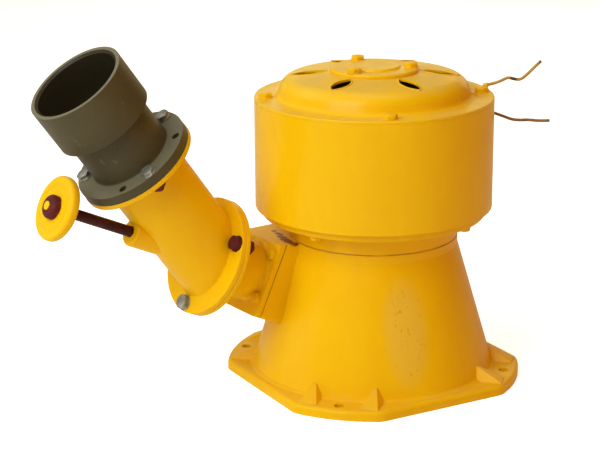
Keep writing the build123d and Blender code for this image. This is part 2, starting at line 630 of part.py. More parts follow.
def handwheel_nut():
    outward = reversed_plane(jet_plane(-wheel_outer_station()))
    nut = hexagon_head(outward, WHEEL_NUT_FLATS, WHEEL_NUT_HEIGHT)
    return nut - rod(outward, SPINDLE_END_RADIUS, WHEEL_NUT_HEIGHT + OVERRUN)


def spear():
    """Needle that closes the nozzle, bored at its back for the spindle's end."""
    hub = rod(jet_plane(SPEAR_START), SPEAR_RADIUS, SPEAR_HUB_LENGTH)
    hub_end = SPEAR_START + SPEAR_HUB_LENGTH
    point = taper(jet_plane(hub_end), SPEAR_RADIUS, SPEAR_POINT_RADIUS, SPEAR_TIP_STATION - hub_end)
    bore = jet_plane(SPEAR_START - OVERRUN)
    return hub + point - rod(bore, SPINDLE_RADIUS + SPINDLE_CLEARANCE, SPEAR_BORE_DEPTH + OVERRUN)


def bucket_profile(depth):
    """Half outline of a spoon along the runner's radius, closed by its own chord."""
    inner = RUNNER_HUB_RADIUS - BUCKET_WALL
    outer = RUNNER_RIM_INNER_RADIUS + BUCKET_WALL
    bow = ThreePointArc((inner, 0, 0), ((inner + outer) / 2, -depth, 0), (outer, 0, 0))
    return make_face([bow, Line((outer, 0, 0), (inner, 0, 0))])


def runner_bucket():
    """Spoon-shaped bucket on the +X side: a bowed shell turned about a radial line, leant with the jet."""
    radial_axis = Axis((0, 0, 0), (1, 0, 0))
    shell = revolve(bucket_profile(BUCKET_DEPTH), radial_axis, BUCKET_SWEEP)
    shell -= revolve(bucket_profile(BUCKET_DEPTH - BUCKET_WALL), radial_axis, 360)
    return Pos(0, 0, RUNNER_LEVEL) * Rot(BUCKET_SWEEP / -2 + BUCKET_LEAN, 0, 0) * shell


def runner():
    """Turbine wheel: a hub with a ring of spoon-shaped buckets held by an outer rim."""
    hub_low = RUNNER_LEVEL - RUNNER_HUB_HEIGHT / 2
    hub_high = hub_low + RUNNER_HUB_HEIGHT
    boss_radius = SHAFT_RADIUS + RUNNER_BOSS_WALL
    hub = turned([
        (SHAFT_RADIUS, hub_low), (boss_radius, hub_low),
        (RUNNER_HUB_RADIUS, RUNNER_LEVEL - RUNNER_DISC_HEIGHT),
        (RUNNER_HUB_RADIUS, RUNNER_LEVEL + RUNNER_DISC_HEIGHT),
        (boss_radius, hub_high), (SHAFT_RADIUS, hub_high),
    ])
    rim_low = RUNNER_LEVEL - RUNNER_RIM_HEIGHT / 2
    rim_outer = RUNNER_RIM_INNER_RADIUS + RUNNER_RIM_THICKNESS
    rim = rod(level_plane(0, rim_low), rim_outer, RUNNER_RIM_HEIGHT)
    rim_bore = level_plane(0, rim_low - OVERRUN)
    rim -= rod(rim_bore, RUNNER_RIM_INNER_RADIUS, RUNNER_RIM_HEIGHT + 2 * OVERRUN)
    return hub.fuse(rim, *around_shaft(runner_bucket(), BUCKET_COUNT, 0))


def main_shaft():
    low = RUNNER_LEVEL - RUNNER_HUB_HEIGHT / 2 - SHAFT_NUT_HEIGHT - BOLT_END_LENGTH
    return rod(level_plane(0, low), SHAFT_RADIUS, DRUM_Z - SEAT_GAP - low)


def runner_nut():
    plane = level_plane(0, RUNNER_LEVEL - RUNNER_HUB_HEIGHT / 2, 0, True)
    nut = hexagon_head(plane, SHAFT_NUT_FLATS, SHAFT_NUT_HEIGHT)
    return nut - rod(plane, SHAFT_RADIUS, SHAFT_NUT_HEIGHT + OVERRUN)


def lead(origin, route):
    """Stiff wire along a route from its exit, with each corner rounded as far as its two runs allow."""
    points = [origin + Vector(*point) for point in route]
    radii = []
    for before, corner, after in zip(points, points[1:], points[2:]):
        turn = math.radians((corner - before).get_angle(after - corner))
        radii.append(ARC_SHARE * min((corner - before).length, (after - corner).length) / math.tan(turn / 2))
    print("radii", [round(radius, 1) for radius in radii])
    path = FilletPolyline(*points, radius=radii)
    start = Plane(origin=points[0], z_dir=points[1] - points[0])
    wire = sweep(start * Circle(LEAD_RADIUS), path)
    whole = math.pi * LEAD_RADIUS**2 * path.length
    print("length", round(path.length, 1), "volume share", round(wire.volume / whole, 4))
    return wire


def stub(point, direction, radius, length):
    """Rod of a given length that ends at a point and lies back along a direction."""
    return rod(Plane(origin=point - direction * length, z_dir=direction), radius, length)


def earth_lug():
    """Crimped barrel on a flat tab that lies on the top plate beside a bolt head."""
    direction = Vector(*UPPER_LEAD_ROUTE[1]).normalized()
    barrel = stub(UPPER_LEAD_EXIT, direction, LUG_BARREL_RADIUS, LUG_BARREL_LENGTH)
    tab_end = UPPER_LEAD_EXIT - direction * LUG_BARREL_LENGTH
    tab_height = tab_end.Z - COWL_Z
    tab = Box(2 * LUG_BARREL_RADIUS, 2 * LUG_BARREL_RADIUS, tab_height)
    return barrel + Pos(tab_end.X, tab_end.Y, COWL_Z + tab_height / 2) * tab


def lead_grommet():
    """Bushing on the drum's side out of which the lower lead comes, cut to the drum's curve."""
    direction = Vector(*LOWER_LEAD_ROUTE[1]).normalized()
    sleeve = stub(LOWER_LEAD_EXIT, direction, GROMMET_RADIUS, 3 * GROMMET_LENGTH)
    return sleeve - rod(level_plane(0, DRUM_Z), DRUM_RADIUS, DRUM_HEIGHT)


NODES = {
    "turbine_casing": turbine_casing(),
    "bearing_collar": bearing_collar(),
    "lower_end_shield": lower_end_shield(),
    "shield_bolts": headed_bolts(
        SHIELD_BOLT_CIRCLE_RADIUS, SHIELD_Z, SHIELD_BOLT_ANGLE, M8_HEAD_FLATS, M8_HEAD_HEIGHT, 4, True),
    "generator_drum": generator_drum(),
    "top_plate": top_plate(),
    "top_plate_bolts": headed_bolts(
        TOP_BOLT_CIRCLE_RADIUS, COWL_Z, TOP_BOLT_ANGLE, M10_HEAD_FLATS, M10_HEAD_HEIGHT, 4),
    "fan_cowl": fan_cowl(),
    "bearing_cap": bearing_cap(),
    "bearing_cap_bolts": headed_bolts(
        CAP_BOLT_CIRCLE_RADIUS, BEARING_CAP_Z + BEARING_CAP_RIM, CAP_BOLT_ANGLE,
        M10_HEAD_FLATS, M10_HEAD_HEIGHT, CAP_BOLT_COUNT),
    "nozzle_body": nozzle_body(),
    "nozzle_tip": nozzle_tip(),
    "nozzle_plate_bolts": nozzle_plate_bolts(),
    "valve_body": valve_body(),
    "round_flange_bolts": round_flange_bolts(),
    "spindle_gland": spindle_gland(),
    "pipe_socket": pipe_socket(),
    "socket_bolts": socket_bolts(),
    "spindle": spindle(),
    "handwheel": handwheel(),
    "handwheel_nut": handwheel_nut(),
    "spear": spear(),
    "runner": runner(),
    "main_shaft": main_shaft(),
    "runner_nut": runner_nut(),
    "earth_lug": earth_lug(),
    "upper_lead": lead(UPPER_LEAD_EXIT, UPPER_LEAD_ROUTE),
    "lead_grommet": lead_grommet(),
    "lower_lead": lead(LOWER_LEAD_EXIT, LOWER_LEAD_ROUTE),
}

for name, shape in NODES.items():
    export_step(shape, f"parts/{name}.step")
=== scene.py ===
import math

import bpy
from mathutils import Matrix, Vector


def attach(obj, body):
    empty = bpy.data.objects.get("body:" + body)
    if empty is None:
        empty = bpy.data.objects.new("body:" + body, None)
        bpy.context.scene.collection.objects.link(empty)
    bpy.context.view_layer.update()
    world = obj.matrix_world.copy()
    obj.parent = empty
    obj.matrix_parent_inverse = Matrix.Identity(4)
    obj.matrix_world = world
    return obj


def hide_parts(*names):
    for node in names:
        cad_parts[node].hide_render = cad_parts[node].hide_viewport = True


bl_info = {
    "name": "Small Turbine Generator",
    "version": (1, 0, 0),
    "blender": (4, 5, 0),
    "location": "3D View > Sidebar > Generator",
    "description": "Paints a small turbine generator and adds its fasteners, leads and cast details",
    "category": "Object",
}

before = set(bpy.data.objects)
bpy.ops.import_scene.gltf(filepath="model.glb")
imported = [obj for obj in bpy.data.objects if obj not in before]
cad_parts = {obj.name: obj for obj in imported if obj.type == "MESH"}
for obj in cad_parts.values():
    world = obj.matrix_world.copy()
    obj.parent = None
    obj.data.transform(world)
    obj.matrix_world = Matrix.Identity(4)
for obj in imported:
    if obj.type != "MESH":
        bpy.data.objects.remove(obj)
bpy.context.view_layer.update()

# Lengths below are millimetres, unless a comment says otherwise; Blender's are metres.
MM = 0.001
ROOT_3 = math.sqrt(3)

# The two slanted lines that the castings follow
JET_SLOPE = math.radians(25)
PIPE_SLOPE = math.radians(54)
FLANGE_CENTRE = Vector((-219.7, 62.0, 181.2)) * MM
JET_DIRECTION = Vector((math.cos(JET_SLOPE), 0, -math.sin(JET_SLOPE)))
JET_UP = Vector((math.sin(JET_SLOPE), 0, math.cos(JET_SLOPE)))
PIPE_OUTWARD = Vector((-math.cos(PIPE_SLOPE), 0, math.sin(PIPE_SLOPE)))
PIPE_UP = Vector((math.sin(PIPE_SLOPE), 0, math.cos(PIPE_SLOPE)))

# Where the photograph's camera stood
CAMERA_PLACE = Vector((-1405.7, -1858.6, 883.0)) * MM
CAMERA_FORWARD = Vector((0.5463, 0.7887, -0.2819))
CAMERA_UP = Vector((0.1652, 0.2284, 0.9594))
CAMERA_AZIMUTH = math.atan2(-CAMERA_FORWARD.y, -CAMERA_FORWARD.x)
LENS = 109.7
STAGE_CENTRE = Vector((-0.03, 0.02, 0.2))

# Levels of the stack, from the runner's hub up to the bearing cap
RUNNER_HUB_Z = 62.0
DECK_Z = 191.5
SHIELD_Z = 220.0
PLATE_Z = 377.0
COWL_TOP_Z = 409.0
CAP_RIM_Z = 414.0

# Radii of the turned pieces, and the cowl's wall, which leans in up to its corner
SHAFT_RADIUS = 12.5
COLLAR_RADIUS = 110.5
COWL_RADIUS = 127.0
COWL_CORNER_RADIUS = 119.0
COWL_FLAT_RADIUS = 59.0
COWL_WALL = 2.5
COWL_CROWN = 7.0
COWL_LEAN = math.atan((COWL_RADIUS - COWL_CORNER_RADIUS) / (COWL_TOP_Z - COWL_CROWN - PLATE_Z))

# Distances from the round flange's joint, along the jet and then along the slanted pipe
FLANGE_THICKNESS = 7.0
PLATE_STATION = 70.0
PAD_STATION = 78.0
WHEEL_FACE_STATION = 240.0
DIPPED_STATION = 249.6
PIPE_FLANGE_STATION = 169.0
SOCKET_FACE_STATION = 187.5

# Radii where a barrel meets its flange
NOZZLE_FRONT_RADIUS = 49.2
NOZZLE_REAR_RADIUS = 38.6
PIPE_RADIUS = 51.5
SOCKET_NECK_RADIUS = 53.0

# Bolt circles' radii and first angles
TOP_BOLTS = (142.0, 61)
CAP_BOLTS = (47.4, -39.5)
SHIELD_BOLTS = (137.5, -69)
ROUND_FLANGE_CIRCLE = 66.5
ROUND_FLANGE_PLATED_ANGLES = (183, 303)
ROUND_FLANGE_PRIMED_ANGLES = (63,)
SOCKET_CIRCLE = 66
SOCKET_ANGLES = (6, 258, 141)
NOZZLE_PLATE_SPOTS = [(up, across) for up in (-30, 30) for across in (-36, 36)]

# Heights of the hexagons, and radii and length of the threaded ends that stand out of the nuts
LARGE_HEAD = 7.5
MEDIUM_HEAD = 6.4
SMALL_HEAD = 5.3
LARGE_THREAD = 6
MEDIUM_THREAD = 5
THREAD_LENGTH = 4
WHEEL_NUT_HEIGHT = 10
WHEEL_NUT_BORE = 5.6
WHEEL_NUT_DOME = [(0, 0), (15.6, 0), (15.6, 3.5), (15, 6), (13.6, 8.2), (11.6, 9.6), (10.4, 10), (0, 10)]
RUNNER_NUT_FLATS = 30
RUNNER_NUT_HEIGHT = 12

# Leaf-shaped cooling vents in the cowl
VENT_COUNT = 6
VENT_ANGLE = -36.0
VENT_MIDDLE_RADIUS = 85.5
VENT_LENGTH = 46.0
VENT_WIDTH = 20.0

# Routes of the leads, in metres
UPPER_LEAD_ROUTE = [
    (0.1395, -0.063, 0.3835), (0.146, -0.07, 0.386), (0.152, -0.0765, 0.39), (0.1575, -0.082, 0.3945),
    (0.1635, -0.0875, 0.392), (0.17, -0.093, 0.3915), (0.1765, -0.0985, 0.399), (0.1835, -0.104, 0.4085),
    (0.19, -0.109, 0.4165),
]
LOWER_LEAD_ROUTE = [
    (0.153, -0.053, 0.344), (0.159, -0.0585, 0.341), (0.1655, -0.0675, 0.338), (0.172, -0.0755, 0.3345),
    (0.1795, -0.083, 0.334), (0.188, -0.091, 0.335), (0.198, -0.0995, 0.3335), (0.2085, -0.109, 0.3345),
]

# Colours that lie over the main ones
# Rust brown, partly rust and partly painted shade in the gap under the collar and beside bolts.
RUST_AND_SHADE = (0.2, 0.06, 0.014, 1)
FLECK_BROWN = (0.34, 0.17, 0.01, 1)
JOINT_BROWN = (0.2, 0.08, 0.003, 1)
# Near-black maroon inside the fan cowl: its primer, darkened as painted shade.
COWL_SHADE = (0.022, 0.006, 0.004, 1)
PRIMER_FLECK = (0.2, 0.06, 0.04, 1)
ZINC_STAIN = (0.13, 0.13, 0.11, 1)
BRONZE_STAIN = (0.2, 0.13, 0.06, 1)
# Pale grey on the socket's upward faces: chalky wear and painted sheen.
PLASTIC_CHALK_AND_SHEEN = (0.19, 0.19, 0.14, 1)
PLASTIC_SCUFF = (0.17, 0.16, 0.11, 1)
# Painted light: lighter olive on the socket's faces that look up along the pipe.
PLASTIC_FACE_LIGHT = (0.165, 0.155, 0.095, 1)
# Painted shade on the socket's inner walls.
PLASTIC_SHADE = (0.012, 0.009, 0.005, 1)
SHEATH_BROWN = (0.3, 0.14, 0.03, 1)
SHEATH_TAN = (0.36, 0.15, 0.025, 1)
SHEATH_END = (0.17, 0.11, 0.04, 1)
# Near-black brown at the lead's kink.
SHEATH_KINK_DARK = (0.05, 0.026, 0.012, 1)
# Browns of the collar's sealant bead, partly painted shade in its joint.
SEALANT_AND_SHADE_DARK = (0.42, 0.2, 0.004, 1)
SEALANT_AND_SHADE_LIGHT = (0.74, 0.41, 0.004, 1)
RUBBER_DARK = (0.02, 0.019, 0.018, 1)
RUBBER_LIGHT = (0.045, 0.042, 0.038, 1)

# Ragged spots: centre and half size of each. The rust marks are partly rust and partly painted shade, in the
# gap under the collar's foot and beside the nozzle plate's bolts.
RUST_AND_SHADE_MARKS = [
    ((-105.5, 78.5, 192), (5, 4, 5)), ((-108, 63, 192), (5, 11, 6)), ((-113, 50, 192), (6, 11, 6)),
    ((-116, 39, 192), (7, 11, 6)), ((-118, 28, 192), (7, 12, 6)), ((-119, 19, 192), (6, 7, 5)),
    ((-114, 15, 190), (5, 4, 3)), ((-146, 26, 176), (5, 4, 5)), ((-169, 25, 121), (5, 4, 5)),
]
FLECKED_PATCHES = [((-44, -128, 98), (34, 34, 100))]
LEAD_ENDS = [((190, -109, 416.5), (5, 5, 6)), ((208, -109, 334), (5, 5, 5)), ((183, -89, 334), (5, 5, 4))]
LEAD_KINK = [((162.5, -87, 392), (6, 6, 7))]


# Settings that the panel shows


class PaintSettings(bpy.types.PropertyGroup):
    light: bpy.props.FloatVectorProperty(
        name="Enamel", description="Yellow of the enamel where it is thick", subtype="COLOR", size=4,
        min=0, max=1, default=(0.92, 0.57, 0.003, 1))
    deep: bpy.props.FloatVectorProperty(
        name="Deep enamel", description="Warmer yellow where the enamel ran or lies thin", subtype="COLOR",
        size=4, min=0, max=1, default=(0.87, 0.49, 0.002, 1))
    # Pale, dulled yellow on faces that look up and over the flecked patch: partly settled dirt and partly a
    # painted sheen.
    dusty_sheen: bpy.props.FloatVectorProperty(
        name="Dusty enamel", description="Dulled yellow on faces that look up", subtype="COLOR", size=4,
        min=0, max=1, default=(0.62, 0.48, 0.17, 1))
    primer: bpy.props.FloatVectorProperty(
        name="Primer", description="Maroon anti-rust primer", subtype="COLOR", size=4,
        min=0, max=1, default=(0.14, 0.013, 0.018, 1))
    zinc: bpy.props.FloatVectorProperty(
        name="Zinc", description="Plated steel of the fasteners", subtype="COLOR", size=4,
        min=0, max=1, default=(0.43, 0.44, 0.4, 1))
    bronze: bpy.props.FloatVectorProperty(
        name="Bronze", description="Cast bronze of the runner and needle", subtype="COLOR", size=4,
        min=0, max=1, default=(0.46, 0.24, 0.075, 1))
    plastic: bpy.props.FloatVectorProperty(
        name="Socket plastic", description="Olive grey of the pipe socket", subtype="COLOR", size=4,
        min=0, max=1, default=(0.088, 0.077, 0.033, 1))
    sheath: bpy.props.FloatVectorProperty(
        name="Lead sheath", description="Ochre of the two leads", subtype="COLOR", size=4,
        min=0, max=1, default=(0.5, 0.3, 0.03, 1))
    edge: bpy.props.FloatProperty(
        name="Softened edge", description="Radius of the paint over a sharp edge", unit="LENGTH",
        min=0, max=0.01, default=0.0012)
    peel: bpy.props.FloatProperty(
        name="Orange peel", description="Depth of the ripples in the enamel", unit="LENGTH",
        min=0, max=0.001, default=0.00009)


class FastenerSettings(bpy.types.PropertyGroup):
    large: bpy.props.FloatProperty(
        name="Large bolt", description="Width across the flats of the round flange's bolts", unit="LENGTH",
        min=0.01, max=0.04, default=0.018)
    medium: bpy.props.FloatProperty(
        name="Medium bolt", description="Width across the flats of the socket's and top plate's bolts",
        unit="LENGTH", min=0.01, max=0.04, default=0.016)
    small: bpy.props.FloatProperty(
        name="Small bolt", description="Width across the flats of the cap's, shield's and nozzle's bolts",
        unit="LENGTH", min=0.005, max=0.03, default=0.013)
    wheel_nut: bpy.props.FloatProperty(
        name="Wheel nut", description="Width across the flats of the handwheel's nut", unit="LENGTH",
        min=0.01, max=0.04, default=0.025)
    washer: bpy.props.FloatProperty(
        name="Washer", description="Thickness of the washers", unit="LENGTH",
        min=0.0005, max=0.004, default=0.0014)


class LeadSettings(bpy.types.PropertyGroup):
    diameter: bpy.props.FloatProperty(
        name="Lead diameter", description="Outer diameter of the two leads", unit="LENGTH",
        min=0.001, max=0.01, default=0.004)


class StageSettings(bpy.types.PropertyGroup):
    key: bpy.props.FloatProperty(
        name="Key lamp", description="Watts of the large lamp on the left", min=0, max=500, default=31)
    fill: bpy.props.FloatProperty(
        name="Fill lamp", description="Watts of the high lamp far round on the left", min=0, max=500,
        default=11)
    low: bpy.props.FloatProperty(
        name="Low lamp", description="Watts of the lamp low on the left", min=0, max=500, default=4)
    sheen: bpy.props.FloatProperty(
        name="Sheen panel", description="Watts of the low panel behind, seen in the level tops",
        min=0, max=500, default=8)
    strip: bpy.props.FloatProperty(
        name="Side lamp", description="Watts of the soft lamp on the right", min=0, max=500, default=7)
    top: bpy.props.FloatProperty(
        name="Top lamp", description="Watts of the lamp overhead", min=0, max=500, default=7)
    ambient: bpy.props.FloatProperty(
        name="Room light", description="Strength of the light from all round", min=0, max=2, default=0.36)
    floor: bpy.props.FloatVectorProperty(
        name="Floor", description="Colour of the floor", subtype="COLOR", size=4,
        min=0, max=1, default=(0.93, 0.93, 0.93, 1))


# Modelling


def clear_selection():
    if bpy.context.object and bpy.context.object.mode != "OBJECT":
        bpy.ops.object.mode_set(mode="OBJECT")
    bpy.ops.object.select_all(action="DESELECT")


def settle(piece):
    """Puts the piece's place into its mesh and leaves it selected alone."""
    clear_selection()
    piece.select_set(True)
    bpy.context.view_layer.objects.active = piece
    bpy.ops.object.transform_apply(location=True, rotation=True, scale=True)
    return piece


def add_modifier(piece, kind, **values):
    modifier = piece.modifiers.new(kind.title(), kind)
    for name, value in values.items():
        setattr(modifier, name, value)
    settle(piece)
    bpy.ops.object.modifier_apply(modifier=modifier.name)


def combine(piece, tool, operation):
    """Cuts or joins one solid with another, which is used up."""
    add_modifier(piece, "BOOLEAN", object=tool, operation=operation, solver="EXACT")
    bpy.data.objects.remove(tool)
    return piece


def lathe(profile, steps=48):
    """Turned form about Z from radius and height pairs, drawn by extruding and then spun."""
    clear_selection()
    bpy.ops.mesh.primitive_plane_add(size=MM)
    piece = bpy.context.object
    bpy.ops.object.mode_set(mode="EDIT")
    bpy.ops.mesh.merge(type="CENTER")
    bpy.ops.transform.translate(value=Vector((profile[0][0], 0, profile[0][1])) * MM)
    for here, there in zip(profile, profile[1:]):
        step = Vector((there[0] - here[0], 0, there[1] - here[1])) * MM
        bpy.ops.mesh.extrude_vertices_move(TRANSFORM_OT_translate={"value": step})
    bpy.ops.mesh.select_all(action="SELECT")
    bpy.ops.mesh.spin(steps=steps, angle=math.tau, center=(0, 0, 0), axis=(0, 0, 1))
    bpy.ops.mesh.select_all(action="SELECT")
    bpy.ops.mesh.remove_doubles(threshold=0.002 * MM)
    bpy.ops.mesh.normals_make_consistent(inside=False)
    bpy.ops.object.mode_set(mode="OBJECT")
    return piece


def hexagon(flats, height, base=0.0):
    """Hexagon that stands on the seat, its outer corners turned off at 30 degrees."""
    clear_selection()
    middle = (base + height / 2) * MM
    bpy.ops.mesh.primitive_cylinder_add(
        vertices=6, radius=flats / ROOT_3 * MM, depth=height * MM, location=(0, 0, middle))
    head = settle(bpy.context.object)
    clear_selection()
    land = 0.475 * flats
    bpy.ops.mesh.primitive_cone_add(
        vertices=36, radius1=(land + (height + 1) * ROOT_3) * MM, radius2=(land - ROOT_3) * MM,
        depth=(height + 2) * MM, location=(0, 0, middle))
    return combine(head, settle(bpy.context.object), "INTERSECT")


def washer(radius, bore, thickness):
    """Plain washer with its upper edge turned off."""
    edge = thickness * 0.3
    return lathe([
        (bore, 0), (radius, 0), (radius, thickness - edge),
        (radius - edge, thickness), (bore, thickness), (bore, 0),
    ], 32)


def bore_cutter(radius, depth):
    """Solid that bores a nut of a given depth right through."""
    return lathe([(radius, -1), (radius, depth + 1), (0, depth + 1), (0, -1), (radius, -1)], 36)


def threaded_end(radius, start, length):
    """Short threaded end of a bolt that stands out of its nut."""
    pitch = 1.5
    lead_in = 0.6
    root = radius * 0.86
    profile = [(radius * 0.8, start)]
    for turn in range(max(1, int(length / pitch))):
        profile += [(root, start + turn * pitch), (radius, start + (turn + 0.5) * pitch)]
    profile += [(root, start + length - lead_in), (radius * 0.72, start + length), (0, start + length)]
    return lathe(profile, 24)


def join(pieces):
    """Makes one piece of several, in the first one's name."""
    clear_selection()
    for piece in pieces:
        piece.select_set(True)
    bpy.context.view_layer.objects.active = pieces[0]
    if len(pieces) > 1:
        bpy.ops.object.join()
    return settle(bpy.context.object)


def set_out(name, pattern, places):
    """Copies a modelled pattern to each place and joins the copies into one piece."""
    copies = []
    for place in places:
        copy = pattern.copy()
        copy.data = pattern.data.copy()
        bpy.context.scene.collection.objects.link(copy)
        copy.data.transform(place)
        copies.append(copy)
    bpy.data.objects.remove(pattern)
    piece = join(copies)
    piece.name = name
    piece.data.name = name
    return piece


def hand_over(piece, body, slot, material, *nodes):
    """Paints a finished piece, lets it ride on its body and hides the nodes that it stands for."""
    if piece.type == "MESH":
        settle(piece)
        bpy.ops.object.shade_smooth_by_angle(angle=math.radians(32))
    piece.data.materials.clear()
    piece.data.materials.append(bpy.data.materials[material])
    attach(piece, body)
    if nodes:
        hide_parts(*nodes)
    return piece


# Places


def placed(origin, outward, upward):
    """Placement whose z points out of a face and whose x points up along it."""
    side = outward.cross(upward)
    place = Matrix((upward, side, outward)).transposed().to_4x4()
    place.translation = origin
    return place


def jet_place(station, up=0.0, across=0.0, facing=1):
    """Place square to the jet; up along the flange, across towards the front."""
    origin = FLANGE_CENTRE + (JET_DIRECTION * station + JET_UP * up + Vector((0, -1, 0)) * across) * MM
    return placed(origin, JET_DIRECTION * facing, JET_UP)


def pipe_place(station, up=0.0, across=0.0, facing=1):
    """Place square to the slanted pipe; across points to the back."""
    origin = FLANGE_CENTRE + (PIPE_OUTWARD * station + PIPE_UP * up + Vector((0, 1, 0)) * across) * MM
    return placed(origin, PIPE_OUTWARD * facing, PIPE_UP)


def on_circle(place, station, radius, angles, facing=1):
    """Places on a circle square to the jet or to the pipe."""
    return [
        place(station, radius * math.cos(math.radians(angle)), radius * math.sin(math.radians(angle)), facing)
        for angle in angles
    ]


def level_places(radius, height, first_angle, count, facing=1):
    """Evenly spread places on a level circle about the shaft."""
    places = []
    for number in range(count):
        turn = math.radians(first_angle + 360 * number / count)
        outward = Vector((math.cos(turn), math.sin(turn), 0))
        origin = outward * radius * MM + Vector((0, 0, height * MM))
        places.append(placed(origin, Vector((0, 0, facing)), outward))
    return places


# Materials


class Graph:
    """Adds nodes to one shader tree and links them."""

    def __init__(self, tree):
        self.tree = tree

    def feed(self, socket, value):
        if isinstance(value, bpy.types.NodeSocket):
            self.tree.links.new(value, socket)
        else:
            socket.default_value = value

    def node(self, kind, inputs=None, **settings):
        made = self.tree.nodes.new("ShaderNode" + kind)
        for name, value in settings.items():
            setattr(made, name, value)
        for name, value in (inputs or {}).items():
            self.feed(made.inputs[name], value)
        return made

    def number(self, operation, first, second=0.0, third=0.0):
        made = self.tree.nodes.new("ShaderNodeMath")
        made.operation = operation
        for socket, value in zip(made.inputs, (first, second, third)):
            self.feed(socket, value)
        return made.outputs[0]

    def times(self, first, second):
        return self.number("MULTIPLY", first, second)

    def vector(self, operation, first, second, output=0):
        made = self.tree.nodes.new("ShaderNodeVectorMath")
        made.operation = operation
        self.feed(made.inputs[0], first)
        self.feed(made.inputs[1], second)
        return made.outputs[output]

    def noise(self, vector, scale, detail=3.0, roughness=0.55):
        made = self.node("TexNoise", {
            "Vector": vector, "Scale": scale, "Detail": detail, "Roughness": roughness})
        return made.outputs[0]

    def remap(self, value, low, high, new_low=0.0, new_high=1.0):
        made = self.node("MapRange", {
            "Value": value, "From Min": low, "From Max": high, "To Min": new_low, "To Max": new_high,
        }, clamp=True)
        return made.outputs[0]

    def blend(self, factor, first, second):
        made = self.tree.nodes.new("ShaderNodeMix")
        made.data_type = "RGBA"
        self.feed(made.inputs[0], factor)
        self.feed(made.inputs[6], first)
        self.feed(made.inputs[7], second)
        return made.outputs[2]

    def veil(self, colour, mask, share, second):
        """Lays a second colour over a first, as far as a share of a mask says."""
        return self.blend(self.times(mask, share), colour, second)

    def effect(self, name, inputs):
        """Places one of the effect groups with this material's own values."""
        made = self.tree.nodes.new("ShaderNodeGroup")
        made.node_tree = bpy.data.node_groups[name]
        for label, value in inputs.items():
            self.feed(made.inputs[label], value)
        return made.outputs[0]

    def tone(self, place, scale, stretch=(1, 1, 1)):
        return self.effect("Uneven Tone", {"Vector": place, "Scale": scale, "Stretch": stretch})

    def ripples(self, place, fine, broad, share):
        return self.effect("Rippled Skin", {
            "Vector": place, "Fine Scale": fine, "Broad Scale": broad, "Broad Share": share})

    def spot_mask(self, place, mark, scale, share):
        centre, size = mark
        return self.effect("Ragged Spot", {
            "Vector": place, "Centre": Vector(centre) * MM, "Size": Vector(size) * MM,
            "Ragged Scale": scale, "Ragged Share": share})

    def part(self, vector, axis):
        return self.node("SeparateXYZ", {"Vector": vector}).outputs[axis]

    def coordinate(self, name):
        return self.tree.nodes.new("ShaderNodeTexCoord").outputs[name]


def start_group(name, inputs, output):
    """New effect group with one number out; a tuple is a vector input, anything else a number."""
    tree = bpy.data.node_groups.new(name, "ShaderNodeTree")
    for label, value in inputs.items():
        kind = "NodeSocketVector" if isinstance(value, tuple) else "NodeSocketFloat"
        socket = tree.interface.new_socket(label, in_out="INPUT", socket_type=kind)
        socket.default_value = value
    tree.interface.new_socket(output, in_out="OUTPUT", socket_type="NodeSocketFloat")
    return Graph(tree), tree.nodes.new("NodeGroupInput").outputs, tree.nodes.new("NodeGroupOutput").inputs[0]


